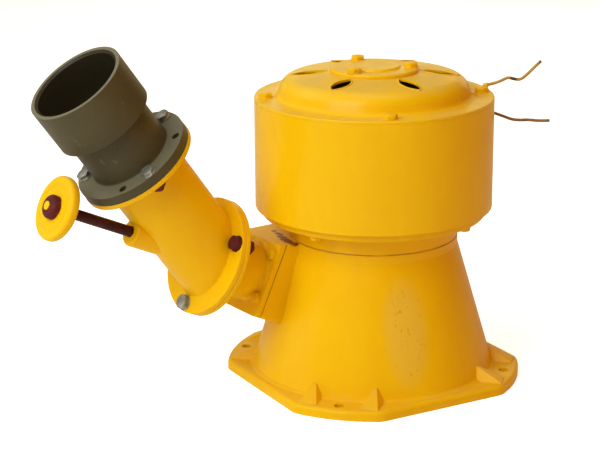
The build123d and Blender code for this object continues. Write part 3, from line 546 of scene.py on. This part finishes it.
def make_effects():
    """Builds the effect groups that the materials share."""
    graph, given, result = start_group("Uneven Tone", {
        "Vector": (0, 0, 0), "Scale": 8.0, "Stretch": (1, 1, 1)}, "Mask")
    stretched = graph.vector("MULTIPLY", given["Vector"], given["Stretch"])
    cloud = graph.noise(stretched, given["Scale"], 4.0, 0.6)
    graph.feed(result, graph.remap(cloud, 0.34, 0.66))

    graph, given, result = start_group("Rippled Skin", {
        "Vector": (0, 0, 0), "Fine Scale": 320.0, "Broad Scale": 30.0, "Broad Share": 0.5}, "Height")
    fine = graph.noise(given["Vector"], given["Fine Scale"], 1.5)
    broad = graph.noise(given["Vector"], given["Broad Scale"], 1.0)
    weight = graph.times(broad, given["Broad Share"])
    rest = graph.number("SUBTRACT", 1.0, given["Broad Share"])
    graph.feed(result, graph.number("MULTIPLY_ADD", fine, rest, weight))

    # Faces that look up, in clouds: settled dirt and a painted sheen in one mask.
    graph, given, result = start_group("Settled Dust And Sheen", {"Vector": (0, 0, 0), "Scale": 22.0}, "Mask")
    upward = graph.part(graph.coordinate("Normal"), "Z")
    cloud = graph.remap(graph.noise(given["Vector"], given["Scale"], 5.0, 0.65), 0.3, 0.7)
    graph.feed(result, graph.times(graph.remap(upward, 0.6, 0.98), cloud))

    graph, given, result = start_group("Ragged Spot", {
        "Vector": (0, 0, 0), "Centre": (0, 0, 0), "Size": (0.01, 0.01, 0.01), "Ragged Scale": 120.0,
        "Ragged Share": 1.1}, "Mask")
    away = graph.vector("SUBTRACT", given["Vector"], given["Centre"])
    distance = graph.vector("LENGTH", graph.vector("DIVIDE", away, given["Size"]), (0, 0, 0), 1)
    ragged = graph.number("SUBTRACT", graph.noise(given["Vector"], given["Ragged Scale"], 4.0, 0.6), 0.5)
    edge = graph.number("MULTIPLY_ADD", ragged, given["Ragged Share"], distance)
    graph.feed(result, graph.remap(edge, 1.0, 0.55))

    graph, given, result = start_group("Fine Flecks", {
        "Vector": (0, 0, 0), "Scale": 150.0, "Stretch": (1, 1, 1), "Threshold": 0.62}, "Mask")
    stretched = graph.vector("MULTIPLY", given["Vector"], given["Stretch"])
    cloud = graph.noise(stretched, given["Scale"], 3.0, 0.6)
    high = graph.number("ADD", given["Threshold"], 0.06)
    made = graph.node("MapRange", {
        "Value": cloud, "From Min": given["Threshold"], "From Max": high}, clamp=True)
    graph.feed(result, made.outputs[0])

    # Faces that look in towards an axis, where painted shade goes.
    graph, given, result = start_group("Inner Wall", {
        "Vector": (0, 0, 0), "Origin": (0, 0, 0), "Axis": (0, 0, 1)}, "Mask")
    away = graph.vector("SUBTRACT", given["Vector"], given["Origin"])
    along = graph.node("VectorMath", operation="SCALE")
    graph.feed(along.inputs[0], given["Axis"])
    graph.feed(along.inputs["Scale"], graph.vector("DOT_PRODUCT", away, given["Axis"], 1))
    across = graph.node("VectorMath", operation="NORMALIZE")
    graph.feed(across.inputs[0], graph.vector("SUBTRACT", away, along.outputs[0]))
    facing = graph.vector("DOT_PRODUCT", graph.coordinate("Normal"), across.outputs[0], 1)
    graph.feed(result, graph.remap(facing, -0.2, -0.5))

    graph, given, result = start_group("Joint Line", {
        "Vector": (0, 0, 0), "Origin": (0, 0, 0), "Axis": (0, 0, 1), "Station": 0.0,
        "Half Width": 0.0008}, "Mask")
    away = graph.vector("SUBTRACT", given["Vector"], given["Origin"])
    along = graph.vector("DOT_PRODUCT", away, given["Axis"], 1)
    wander = graph.number("SUBTRACT", graph.noise(given["Vector"], 90.0, 3.0), 0.5)
    line = graph.number("ABSOLUTE", graph.number("SUBTRACT", along, given["Station"]))
    line = graph.number("MULTIPLY_ADD", wander, given["Half Width"], line)
    thin = graph.times(given["Half Width"], 0.4)
    made = graph.node("MapRange", {
        "Value": line, "From Min": given["Half Width"], "From Max": thin}, clamp=True)
    graph.feed(result, made.outputs[0])


def start_material(name):
    """New material; gives its graph, its Principled shader and the point on the piece."""
    material = bpy.data.materials.new(name)
    material.use_nodes = True
    graph = Graph(material.node_tree)
    return graph, material.node_tree.nodes["Principled BSDF"], graph.coordinate("Object")


def coat(graph, shader, colour, roughness):
    graph.feed(shader.inputs["Base Color"], colour)
    graph.feed(shader.inputs["Roughness"], roughness)


def raised(graph, shader, height, depth, edge):
    """Bump of a real depth, over a normal that rounds sharp edges off."""
    soft = graph.node("Bevel", {"Radius": edge}, samples=6).outputs[0]
    bump = graph.node("Bump", {"Height": height, "Distance": depth, "Strength": 1.0, "Normal": soft})
    graph.feed(shader.inputs["Normal"], bump.outputs[0])


def spots(graph, place, colour, marks, second, ragged=0.7):
    """Lays ragged spots of a second colour over a first; each mark is a centre and a size."""
    for mark in marks:
        colour = graph.blend(graph.spot_mask(place, mark, 120.0, ragged), colour, second)
    return colour


def inside_cowl(graph, place):
    """Mask of the walls, roof and floor of the space under the fan cowl, where painted shade goes."""
    inner_radius = COWL_RADIUS - COWL_WALL
    radius = graph.vector("LENGTH", graph.vector("MULTIPLY", place, (1, 1, 0)), (0, 0, 0), 1)
    within = graph.remap(radius, inner_radius * MM, (inner_radius - 0.5) * MM)
    low = graph.remap(graph.part(place, "Z"), (PLATE_Z + 0.6) * MM, (PLATE_Z + 0.3) * MM)
    floor = graph.times(within, low)
    roof = graph.remap(graph.part(graph.coordinate("Normal"), "Z"), -0.3, -0.6)
    walls = graph.effect("Inner Wall", {"Vector": place})
    return graph.number("MAXIMUM", walls, graph.number("MAXIMUM", roof, floor))


def pad_joint(graph, place):
    """Mask of the open line between the nozzle's plate and the casing's pad."""
    line = graph.effect("Joint Line", {
        "Vector": place, "Origin": FLANGE_CENTRE, "Axis": JET_DIRECTION, "Station": PAD_STATION * MM,
        "Half Width": 0.001})
    side = graph.part(place, "Y")
    near = graph.times(graph.remap(side, 0.018, 0.0158), graph.remap(side, -0.02, 0))
    return graph.times(graph.times(line, near), 0.75)


def enamel(name, paint, grain, depth, gloss=0.1, dust_and_sheen_share=0.2, edge=None, marks=(), flecked=(),
           joint=False, painted_inner_shade=False):
    """Glossy yellow enamel with uneven tone, ripples, settled dirt with a painted sheen on top, ragged rust
    marks that are partly painted shade, and painted shade under a cowl.
    """
    graph, shader, place = start_material(name)
    tone = graph.tone(place, 7.0, (1, 1, 0.35))
    small = graph.tone(place, 60.0, (1, 1, 0.6))
    uneven = graph.number("MULTIPLY_ADD", small, 0.25, graph.times(tone, 0.6))
    colour = graph.blend(uneven, paint.light, paint.deep)
    # Pale veil on faces that look up: partly settled dirt, partly painted sheen.
    dust_and_sheen = graph.effect("Settled Dust And Sheen", {"Vector": place, "Scale": 24.0})
    colour = graph.veil(colour, dust_and_sheen, dust_and_sheen_share, paint.dusty_sheen)
    for mark in flecked:
        area = graph.spot_mask(place, mark, 12.0, 0.4)
        flecks = graph.effect("Fine Flecks", {"Vector": place, "Scale": 190.0, "Stretch": (1, 1, 0.45)})
        colour = graph.veil(colour, area, 0.22, paint.dusty_sheen)
        colour = graph.veil(colour, graph.times(area, flecks), 0.4, FLECK_BROWN)
    if joint:
        colour = graph.blend(pad_joint(graph, place), colour, JOINT_BROWN)
    # Rust-brown marks: partly rust, partly painted shade in the gap under the collar's foot and beside the
    # nozzle plate's bolts.
    colour = spots(graph, place, colour, marks, RUST_AND_SHADE)
    # Painted shade: the space under the cowl turns a near-black maroon, partly its primer and partly shade.
    if painted_inner_shade:
        colour = graph.blend(inside_cowl(graph, place), colour, COWL_SHADE)
    roughness = graph.number("MULTIPLY_ADD", dust_and_sheen, 0.18, graph.remap(tone, 0, 1, 0.24, 0.35))
    coat(graph, shader, colour, roughness)
    shader.inputs["Specular IOR Level"].default_value = gloss
    shader.inputs["Coat Weight"].default_value = 0.04
    shader.inputs["Coat Roughness"].default_value = 0.12
    raised(graph, shader, graph.ripples(place, 280.0, grain, 0.6), depth, edge or paint.edge)


def red_primer(paint, name, shade, tipped):
    """Matt maroon primer, scaled by a shade factor; the spindle's darker copy is painted shade, and its far
    end is dipped in the yellow enamel.
    """
    graph, shader, place = start_material(name)
    tone = graph.tone(place, 70.0)
    flecks = graph.effect("Fine Flecks", {"Vector": place, "Scale": 420.0, "Threshold": 0.6})
    light = [shade * value for value in paint.primer[:3]] + [1]
    dark = [0.6 * value for value in light[:3]] + [1]
    colour = graph.blend(tone, light, dark)
    colour = graph.veil(colour, flecks, 0.2, PRIMER_FLECK)
    if tipped:
        along = graph.vector("DOT_PRODUCT", graph.vector("SUBTRACT", place, FLANGE_CENTRE), -JET_DIRECTION, 1)
        tip = graph.remap(along, DIPPED_STATION * MM, (DIPPED_STATION + 0.6) * MM)
        colour = graph.blend(tip, colour, paint.light)
    coat(graph, shader, colour, graph.remap(tone, 0, 1, 0.42, 0.62))
    shader.inputs["Specular IOR Level"].default_value = 0.22
    raised(graph, shader, graph.ripples(place, 700.0, 160.0, 0.5), 0.00012, 0.0012)


def metal(name, colour, dark, scale, metallic, roughness, depth):
    """Metal with stains, turned or cast grain and uneven gloss."""
    graph, shader, place = start_material(name)
    stain = graph.tone(place, scale)
    flecks = graph.effect("Fine Flecks", {"Vector": place, "Scale": scale * 5})
    base = graph.veil(colour, stain, 0.7, dark)
    graph.feed(shader.inputs["Base Color"], graph.blend(graph.times(flecks, 0.5), base, dark))
    shader.inputs["Metallic"].default_value = metallic
    graph.feed(shader.inputs["Roughness"], graph.remap(stain, 0, 1, roughness, roughness + 0.2))
    raised(graph, shader, graph.ripples(place, 900.0, 200.0, 0.4), depth, 0.0005)


def socket_plastic(paint):
    """Olive grey plastic with mottling, chalky wear and painted sheen on top, painted light on faces that
    look up the pipe, painted shade on its inner walls and fine turned lines.
    """
    graph, shader, place = start_material("socket_plastic")
    tone = graph.tone(place, 9.0)
    # Upward faces are paler: chalky wear and painted sheen.
    chalk_and_sheen = graph.effect("Settled Dust And Sheen", {"Vector": place, "Scale": 40.0})
    darker = [0.72 * value for value in paint.plastic[:3]] + [1]
    colour = graph.blend(tone, paint.plastic, darker)
    colour = graph.veil(colour, chalk_and_sheen, 0.3, PLASTIC_CHALK_AND_SHEEN)
    flecks = graph.effect("Fine Flecks", {"Vector": place, "Scale": 90.0, "Threshold": 0.66})
    colour = graph.veil(colour, flecks, 0.3, PLASTIC_SCUFF)
    # Painted light: faces that look up along the pipe are made lighter.
    faces = graph.vector("DOT_PRODUCT", graph.coordinate("Normal"), PIPE_OUTWARD, 1)
    colour = graph.veil(colour, graph.remap(faces, 0.75, 0.97), 0.9, PLASTIC_FACE_LIGHT)
    # Painted shade: the socket's inner walls are darkened.
    wall = graph.effect("Inner Wall", {"Vector": place, "Origin": FLANGE_CENTRE, "Axis": PIPE_OUTWARD})
    colour = graph.veil(colour, wall, 0.75, PLASTIC_SHADE)
    coat(graph, shader, colour, graph.remap(tone, 0, 1, 0.4, 0.52))
    shader.inputs["Specular IOR Level"].default_value = 0.24
    along = graph.vector("DOT_PRODUCT", graph.vector("SUBTRACT", place, FLANGE_CENTRE), PIPE_OUTWARD, 1)
    rings = graph.number("SINE", graph.times(along, 2600.0))
    height = graph.number("MULTIPLY_ADD", rings, 0.04, graph.ripples(place, 240.0, 26.0, 0.6))
    raised(graph, shader, height, 0.0001, 0.0008)


def lead_sheath(paint):
    """Painted lead sheath, browned at the kink and towards the cut ends."""
    graph, shader, place = start_material("ochre_sheath")
    tone = graph.tone(place, 120.0)
    lower = graph.remap(graph.part(place, "Z"), 0.37, 0.36)
    colour = graph.blend(lower, paint.sheath, SHEATH_BROWN)
    colour = graph.veil(colour, tone, 0.5, SHEATH_TAN)
    colour = spots(graph, place, colour, LEAD_ENDS, SHEATH_END)
    colour = spots(graph, place, colour, LEAD_KINK, SHEATH_KINK_DARK, 0.3)
    coat(graph, shader, colour, graph.remap(tone, 0, 1, 0.4, 0.6))
    raised(graph, shader, graph.ripples(place, 900.0, 250.0, 0.5), 0.00015, 0.0003)


def seam_varnish():
    """Browned sealant in the joint under the collar; its brown is partly painted shade in the joint."""
    graph, shader, place = start_material("seam_varnish")
    tone = graph.tone(place, 45.0)
    coat(graph, shader, graph.blend(tone, SEALANT_AND_SHADE_DARK, SEALANT_AND_SHADE_LIGHT), graph.remap(tone, 0, 1, 0.35, 0.6))
    raised(graph, shader, graph.ripples(place, 500.0, 90.0, 0.6), 0.0002, 0.0003)


def rubber():
    """Black rubber of the lower lead's grommet."""
    graph, shader, place = start_material("grommet_rubber")
    tone = graph.tone(place, 90.0)
    coat(graph, shader, graph.blend(tone, RUBBER_DARK, RUBBER_LIGHT), graph.remap(tone, 0, 1, 0.6, 0.8))
    raised(graph, shader, graph.ripples(place, 1200.0, 200.0, 0.3), 0.0001, 0.0005)


# Finish of each node that keeps its solid's own mesh
CAD_FINISHES = {
    "cast_enamel": [
        "turbine_casing", "bearing_collar", "lower_end_shield", "nozzle_body", "valve_body", "spindle_gland"],
    "sheet_enamel": ["generator_drum", "earth_lug"],
    "cowl_enamel": ["top_plate", "fan_cowl", "bearing_cap"],
    "wheel_enamel": ["handwheel"],
    "dipped_maroon_coat": ["spindle"],
    "zinc_plate": ["main_shaft"],
    "bronze": ["runner", "nozzle_tip", "spear"],
    "socket_plastic": ["pipe_socket"],
    "grommet_rubber": ["lead_grommet"],
}


class GENERATOR_OT_finishes(bpy.types.Operator):
    """Make the finishes and lay them on the castings, drum, cowl, socket and wheel"""

    bl_idname = "generator.finishes"
    bl_label = "Finishes"

    def execute(self, context):
        paint = context.scene.generator_paint
        make_effects()
        enamel("cast_enamel", paint, 34.0, paint.peel * 2.2, marks=RUST_AND_SHADE_MARKS, flecked=FLECKED_PATCHES,
               joint=True)
        enamel("sheet_enamel", paint, 18.0, paint.peel * 1.2, marks=RUST_AND_SHADE_MARKS[-2:])
        enamel("cowl_enamel", paint, 18.0, paint.peel * 1.2, gloss=0.16, dust_and_sheen_share=0.45, painted_inner_shade=True)
        enamel("wheel_enamel", paint, 50.0, paint.peel * 2.0, gloss=0.14, edge=0.005)
        red_primer(paint, "maroon_coat", 1.0, False)
        # The spindle's coat: the primer at 0.42, painted shade, with its end dipped yellow.
        red_primer(paint, "dipped_maroon_coat", 0.42, True)
        metal("zinc_plate", paint.zinc, ZINC_STAIN, 110.0, 0.75, 0.34, 0.00008)
        metal("bronze", paint.bronze, BRONZE_STAIN, 40.0, 0.9, 0.35, 0.00015)
        socket_plastic(paint)
        lead_sheath(paint)
        seam_varnish()
        rubber()
        for finish, nodes in CAD_FINISHES.items():
            for name in nodes:
                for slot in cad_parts[name].material_slots:
                    slot.material = bpy.data.materials[finish]
        return {"FINISHED"}


# Leads


def free_lead(name, node, route, diameter):
    """One stiff wire on a smooth line through its route's points."""
    curve = bpy.data.curves.new(name, "CURVE")
    curve.dimensions = "3D"
    spline = curve.splines.new("NURBS")
    spline.points.add(len(route) - 1)
    for point, place in zip(spline.points, route):
        point.co = (*place, 1)
    spline.order_u = 3
    spline.use_endpoint_u = True
    spline.resolution_u = 10
    curve.bevel_depth = diameter / 2
    curve.bevel_resolution = 4
    curve.use_fill_caps = True
    wire = bpy.data.objects.new(name, curve)
    bpy.context.scene.collection.objects.link(wire)
    hand_over(wire, "generator", "lead_sheath", "ochre_sheath", node)
    return wire


class GENERATOR_OT_leads(bpy.types.Operator):
    """Lay the two cut leads beside the drum"""

    bl_idname = "generator.leads"
    bl_label = "Leads"

    def execute(self, context):
        diameter = context.scene.generator_leads.diameter
        for node, route in (("upper_lead", UPPER_LEAD_ROUTE), ("lower_lead", LOWER_LEAD_ROUTE)):
            wire = free_lead(node + "_wire", node, route, diameter)
        return {"FINISHED"}


# Fasteners


def bolt_head(flats, height, thickness):
    """Hexagon head on a plain washer, which stands a little past its corners."""
    seat = washer(flats * 0.51 + 1.6, flats * 0.3, thickness)
    return join([hexagon(flats, height - thickness, thickness), seat])


def bolt_nut(flats, height, thickness, thread):
    """Hexagon nut on its washer, with the end of the bolt through it."""
    return join([bolt_head(flats, height, thickness), threaded_end(thread, height, THREAD_LENGTH)])


class GENERATOR_OT_painted_bolts(bpy.types.Operator):
    """Fit the painted bolts of the top plate, bearing cap, lower shield and nozzle plate"""

    bl_idname = "generator.painted_bolts"
    bl_label = "Painted bolts"

    def execute(self, context):
        sizes = context.scene.generator_fasteners
        medium, small, thickness = sizes.medium / MM, sizes.small / MM, sizes.washer / MM
        groups = [
            ("top_plate_bolt_heads", "top_plate_bolts", medium, MEDIUM_HEAD,
             level_places(TOP_BOLTS[0], PLATE_Z, TOP_BOLTS[1], 4)),
            ("bearing_cap_bolt_heads", "bearing_cap_bolts", medium, MEDIUM_HEAD,
             level_places(CAP_BOLTS[0], CAP_RIM_Z, CAP_BOLTS[1], 3)),
            ("shield_bolt_heads", "shield_bolts", small, SMALL_HEAD,
             level_places(SHIELD_BOLTS[0], SHIELD_Z, SHIELD_BOLTS[1], 4, -1)),
            ("nozzle_plate_bolt_heads", "nozzle_plate_bolts", small, SMALL_HEAD,
             [jet_place(PLATE_STATION, up, across, -1) for up, across in NOZZLE_PLATE_SPOTS]),
        ]
        for name, node, flats, height, places in groups:
            head = bolt_head(flats, height, thickness)
            add_modifier(head, "BEVEL", width=0.7 * MM, segments=2, limit_method="ANGLE",
                         angle_limit=math.radians(40))
            hand_over(set_out(name, head, places), "generator", "yellow_paint", "sheet_enamel", node)
        return {"FINISHED"}


class GENERATOR_OT_flange_bolts(bpy.types.Operator):
    """Fit the through bolts of the round flange and of the pipe flange, with their nuts"""

    bl_idname = "generator.flange_bolts"
    bl_label = "Flange bolts"

    def execute(self, context):
        sizes = context.scene.generator_fasteners
        large, medium, thickness = sizes.large / MM, sizes.medium / MM, sizes.washer / MM

        def round_flange_set(angles, slot, finish, name, *nodes):
            heads = set_out(name + "_heads", bolt_head(large, LARGE_HEAD, thickness),
                            on_circle(jet_place, -FLANGE_THICKNESS, ROUND_FLANGE_CIRCLE, angles, -1))
            nuts = set_out(name + "_nuts", bolt_nut(large, LARGE_HEAD, thickness, LARGE_THREAD),
                           on_circle(jet_place, FLANGE_THICKNESS, ROUND_FLANGE_CIRCLE, angles))
            bolts = join([heads, nuts])
            bolts.name = name
            hand_over(bolts, "generator", slot, finish, *nodes)

        round_flange_set(ROUND_FLANGE_PLATED_ANGLES, "plated_steel", "zinc_plate",
                         "round_flange_plated_bolts", "round_flange_bolts")
        round_flange_set(ROUND_FLANGE_PRIMED_ANGLES, "red_primer", "maroon_coat",
                         "round_flange_primed_bolt")

        heads = set_out("socket_bolt_heads", bolt_head(medium, MEDIUM_HEAD, thickness),
                        on_circle(pipe_place, SOCKET_FACE_STATION, SOCKET_CIRCLE, SOCKET_ANGLES))
        hand_over(heads, "generator", "plated_steel", "zinc_plate", "socket_bolts")
        nuts = set_out("socket_bolt_nuts", bolt_nut(medium, MEDIUM_HEAD, thickness, MEDIUM_THREAD),
                       on_circle(pipe_place, PIPE_FLANGE_STATION, SOCKET_CIRCLE, SOCKET_ANGLES, -1))
        hand_over(nuts, "generator", "red_primer", "maroon_coat")
        return {"FINISHED"}


class GENERATOR_OT_nuts(bpy.types.Operator):
    """Fit the handwheel's nut and the runner's nut"""

    bl_idname = "generator.nuts"
    bl_label = "Wheel and runner nuts"

    def execute(self, context):
        flats = context.scene.generator_fasteners.wheel_nut / MM
        dome = settle(lathe(WHEEL_NUT_DOME, 72))
        nut = combine(dome, hexagon(flats * 1.19, WHEEL_NUT_HEIGHT), "INTERSECT")
        nut = combine(nut, bore_cutter(WHEEL_NUT_BORE, WHEEL_NUT_HEIGHT), "DIFFERENCE")
        nut = set_out("handwheel_hex_nut", nut, [jet_place(-WHEEL_FACE_STATION, 0, 0, -1)])
        hand_over(nut, "wheel_and_spindle", "red_primer", "maroon_coat", "handwheel_nut")
        bore = bore_cutter(SHAFT_RADIUS, RUNNER_NUT_HEIGHT)
        nut = combine(hexagon(RUNNER_NUT_FLATS, RUNNER_NUT_HEIGHT), bore, "DIFFERENCE")
        nut = set_out("runner_hex_nut", nut, level_places(0, RUNNER_HUB_Z, 0, 1, -1))
        hand_over(nut, "generator", "plated_steel", "zinc_plate", "runner_nut")
        return {"FINISHED"}


# Cast details


def root_fillet(radius, size, lean=0.0):
    """Hollow fillet where a round barrel, which may lean inwards, stands on a flange."""
    sunk = -0.4
    steps = 8
    top = (radius - size * math.sin(lean), size * math.cos(lean))
    arc = []
    for step in range(steps + 1):
        share = step / steps
        arc.append((
            (1 - share)**2 * (radius + size) + 2 * share * (1 - share) * radius + share**2 * top[0],
            share**2 * top[1]))
    foot = (radius - 1, sunk)
    return lathe([foot, (radius + size, sunk), *arc, (top[0] - 1, top[1]), foot], 96)


class GENERATOR_OT_root_fillets(bpy.types.Operator):
    """Run cast fillets round the roots of the nozzle and the slanted pipe"""

    bl_idname = "generator.root_fillets"
    bl_label = "Root fillets"

    def execute(self, context):
        roots = [
            ("nozzle_front_root", root_fillet(NOZZLE_FRONT_RADIUS, 5), jet_place(FLANGE_THICKNESS)),
            ("nozzle_plate_root", root_fillet(NOZZLE_REAR_RADIUS, 5), jet_place(PLATE_STATION, 0, 0, -1)),
            ("pipe_flange_root", root_fillet(PIPE_RADIUS, 5), pipe_place(PIPE_FLANGE_STATION, 0, 0, -1)),
            ("cowl_foot_root", root_fillet(COWL_RADIUS, 6, COWL_LEAN), level_places(0, PLATE_Z, 0, 1)[0]),
        ]
        for name, pattern, place in roots:
            hand_over(set_out(name, pattern, [place]), "generator", "yellow_paint", "cast_enamel")
        bead = root_fillet(SOCKET_NECK_RADIUS, 2.4)
        bead = set_out("socket_root_bead", bead, [pipe_place(SOCKET_FACE_STATION)])
        hand_over(bead, "generator", "grey_plastic", "socket_plastic")
        return {"FINISHED"}


class GENERATOR_OT_seams(bpy.types.Operator):
    """Run a bead of browned sealant round the collar's foot, its brown partly painted shade in the joint"""

    bl_idname = "generator.seams"
    bl_label = "Seams"

    def execute(self, context):
        half = 0.8
        height = DECK_Z + 0.6
        inner = COLLAR_RADIUS - 0.5
        piece = lathe([
            (inner, height - half), (COLLAR_RADIUS + 0.35 * half, height - 0.7 * half),
            (COLLAR_RADIUS + 0.5 * half, height), (COLLAR_RADIUS + 0.35 * half, height + 0.7 * half),
            (inner, height + half), (inner, height - half)], 128)
        piece.name = "collar_seam"
        hand_over(piece, "generator", "yellow_paint", "seam_varnish")
        return {"FINISHED"}


class GENERATOR_OT_vent_lips(bpy.types.Operator):
    """Raise a rolled lip round each leaf-shaped vent of the cowl"""

    bl_idname = "generator.vent_lips"
    bl_label = "Vent lips"

    def execute(self, context):
        half_length, half_width = VENT_LENGTH / 2, VENT_WIDTH / 2
        arc_radius = (half_length**2 + half_width**2) / (2 * half_width)
        offset = arc_radius - half_width

        def leaf(grow, low, high):
            """Leaf where two round discs overlap, grown all round by some millimetres."""
            sides = []
            for side in (-1, 1):
                clear_selection()
                bpy.ops.mesh.primitive_cylinder_add(
                    vertices=160, radius=(arc_radius + grow) * MM, depth=(high - low) * MM,
                    location=(0, side * offset * MM, (low + high) / 2 * MM))
                sides.append(settle(bpy.context.object))
            return combine(sides[0], sides[1], "INTERSECT")

        lip = combine(leaf(1.8, -1.2, 0.7), leaf(0, -2, 2), "DIFFERENCE")
        add_modifier(lip, "BEVEL", width=0.45 * MM, segments=2, limit_method="ANGLE",
                     angle_limit=math.radians(50))
        fall = COWL_CROWN / (COWL_CORNER_RADIUS - COWL_FLAT_RADIUS)
        height = COWL_TOP_Z - (VENT_MIDDLE_RADIUS - COWL_FLAT_RADIUS) * fall
        tilt = Matrix.Rotation(math.atan(fall), 4, "Y")
        places = [place @ tilt for place in level_places(VENT_MIDDLE_RADIUS, height, VENT_ANGLE, VENT_COUNT)]
        hand_over(set_out("vent_lips", lip, places), "generator", "yellow_paint", "sheet_enamel")
        return {"FINISHED"}


# Stage


def towards(side, elevation):
    """Direction from the object, turned from the camera's by an angle to the right."""
    turn = CAMERA_AZIMUTH + math.radians(side)
    level = math.cos(math.radians(elevation))
    return Vector((level * math.cos(turn), level * math.sin(turn), math.sin(math.radians(elevation))))


def lamp(name, side, elevation, distance, width, height, watts, colour=(1, 1, 1)):
    """Rectangular lamp, in metres, that looks at the object."""
    direction = towards(side, elevation)
    bpy.ops.object.light_add(type="AREA", location=STAGE_CENTRE + direction * distance)
    light = bpy.context.object
    light.name = name
    light.rotation_euler = (-direction).to_track_quat("-Z", "Y").to_euler()
    light.data.shape = "RECTANGLE"
    light.data.size = width
    light.data.size_y = height
    light.data.energy = watts
    light.data.color = colour


def seen_directly(graph):
    """One where the camera sees the floor or backdrop itself."""
    path = graph.tree.nodes.new("ShaderNodeLightPath").outputs
    return graph.number("MAXIMUM", path["Is Camera Ray"], path["Is Transmission Ray"])


class GENERATOR_OT_stage(bpy.types.Operator):
    """Set up the camera, the pale floor and the soft studio light"""

    bl_idname = "generator.stage"
    bl_label = "Stage"

    def execute(self, context):
        scene = context.scene
        stage = scene.generator_stage
        clear_selection()
        bpy.ops.object.camera_add(location=CAMERA_PLACE)
        camera = context.object
        right = CAMERA_FORWARD.cross(CAMERA_UP)
        turned = Matrix((right, right.cross(CAMERA_FORWARD), -CAMERA_FORWARD)).transposed()
        camera.rotation_mode = "QUATERNION"
        camera.rotation_quaternion = turned.to_quaternion()
        camera.data.lens = LENS
        camera.data.sensor_width = 36
        camera.data.clip_end = 60
        scene.camera = camera

        # Each lamp's angle to the camera's right, elevation, distance, width, height, watts and colour
        lamp("key_lamp", -38, 38, 2.4, 1.5, 1.5, stage.key)
        lamp("fill_lamp", -98, 42, 2.5, 1.4, 1.4, stage.fill)
        lamp("low_lamp", -80, 4, 2.5, 1.4, 0.7, stage.low, (1, 0.96, 0.74))
        lamp("side_lamp", 60, 20, 2.6, 1.3, 1.5, stage.strip, (1, 0.34, 0.05))
        lamp("sheen_panel", 168, 12, 3.0, 2.4, 0.9, stage.sheen, (1, 0.9, 0.5))
        lamp("top_lamp", 0, 86, 2.2, 1.6, 1.6, stage.top)

        clear_selection()
        bpy.ops.mesh.primitive_plane_add(size=40)
        floor = context.object
        floor.name = "floor"
        graph, shader, place = start_material("pale_floor")
        grain = graph.noise(place, 3.0, 3.0)
        pale = [0.985 * value for value in stage.floor[:3]] + [1]
        graph.feed(shader.inputs["Base Color"], graph.blend(grain, tuple(stage.floor), pale))
        shader.inputs["Roughness"].default_value = 0.9
        shader.inputs["Specular IOR Level"].default_value = 0.1
        glow = graph.node("Emission", {
            "Color": (1, 1, 1, 1), "Strength": graph.times(seen_directly(graph), 0.7)})
        both = graph.node("AddShader")
        graph.feed(both.inputs[0], shader.outputs[0])
        graph.feed(both.inputs[1], glow.outputs[0])
        graph.feed(graph.tree.nodes["Material Output"].inputs["Surface"], both.outputs[0])
        floor.data.materials.append(bpy.data.materials["pale_floor"])

        world = bpy.data.worlds.new("studio")
        scene.world = world
        world.use_nodes = True
        graph = Graph(world.node_tree)
        outward = graph.vector("DOT_PRODUCT", graph.coordinate("Generated"), tuple(right), 1)
        to_right = graph.remap(outward, -0.3, 0.65)
        tint = graph.blend(to_right, (1, 0.9, 0.66, 1), (0.8, 0.33, 0.05, 1))
        room = graph.node("Background", {"Color": tint, "Strength": stage.ambient})
        white = graph.node("Background", {"Color": (1, 1, 1, 1), "Strength": 1.0})
        mix = graph.node("MixShader", {"Fac": seen_directly(graph)})
        graph.feed(mix.inputs[1], room.outputs[0])
        graph.feed(mix.inputs[2], white.outputs[0])
        graph.feed(graph.tree.nodes["World Output"].inputs["Surface"], mix.outputs[0])
        scene.view_settings.view_transform = "Standard"
        return {"FINISHED"}


STEPS = (
    GENERATOR_OT_stage,
    GENERATOR_OT_finishes,
    GENERATOR_OT_leads,
    GENERATOR_OT_painted_bolts,
    GENERATOR_OT_flange_bolts,
    GENERATOR_OT_nuts,
    GENERATOR_OT_root_fillets,
    GENERATOR_OT_seams,
    GENERATOR_OT_vent_lips,
)


class GENERATOR_PT_panel(bpy.types.Panel):
    """Lists the generator's settings and the steps that build it"""

    bl_idname = "GENERATOR_PT_panel"
    bl_label = "Generator"
    bl_space_type = "VIEW_3D"
    bl_region_type = "UI"
    bl_category = "Generator"

    def draw(self, context):
        for settings, group in SETTINGS.items():
            box = self.layout.box()
            for name in settings.__annotations__:
                box.prop(getattr(context.scene, group), name)
        for step in STEPS:
            self.layout.operator(step.bl_idname)


SETTINGS = {
    PaintSettings: "generator_paint",
    FastenerSettings: "generator_fasteners",
    LeadSettings: "generator_leads",
    StageSettings: "generator_stage",
}


def register():
    for settings, name in SETTINGS.items():
        bpy.utils.register_class(settings)
        setattr(bpy.types.Scene, name, bpy.props.PointerProperty(type=settings))
    for step in STEPS:
        bpy.utils.register_class(step)
    bpy.utils.register_class(GENERATOR_PT_panel)


def unregister():
    bpy.utils.unregister_class(GENERATOR_PT_panel)
    for step in reversed(STEPS):
        bpy.utils.unregister_class(step)
    for settings, name in SETTINGS.items():
        delattr(bpy.types.Scene, name)
        bpy.utils.unregister_class(settings)


def main():
    register()
    for step in STEPS:
        group, name = step.bl_idname.split(".")
        getattr(getattr(bpy.ops, group), name)()
    clear_selection()


if __name__ == "__main__":
    main()
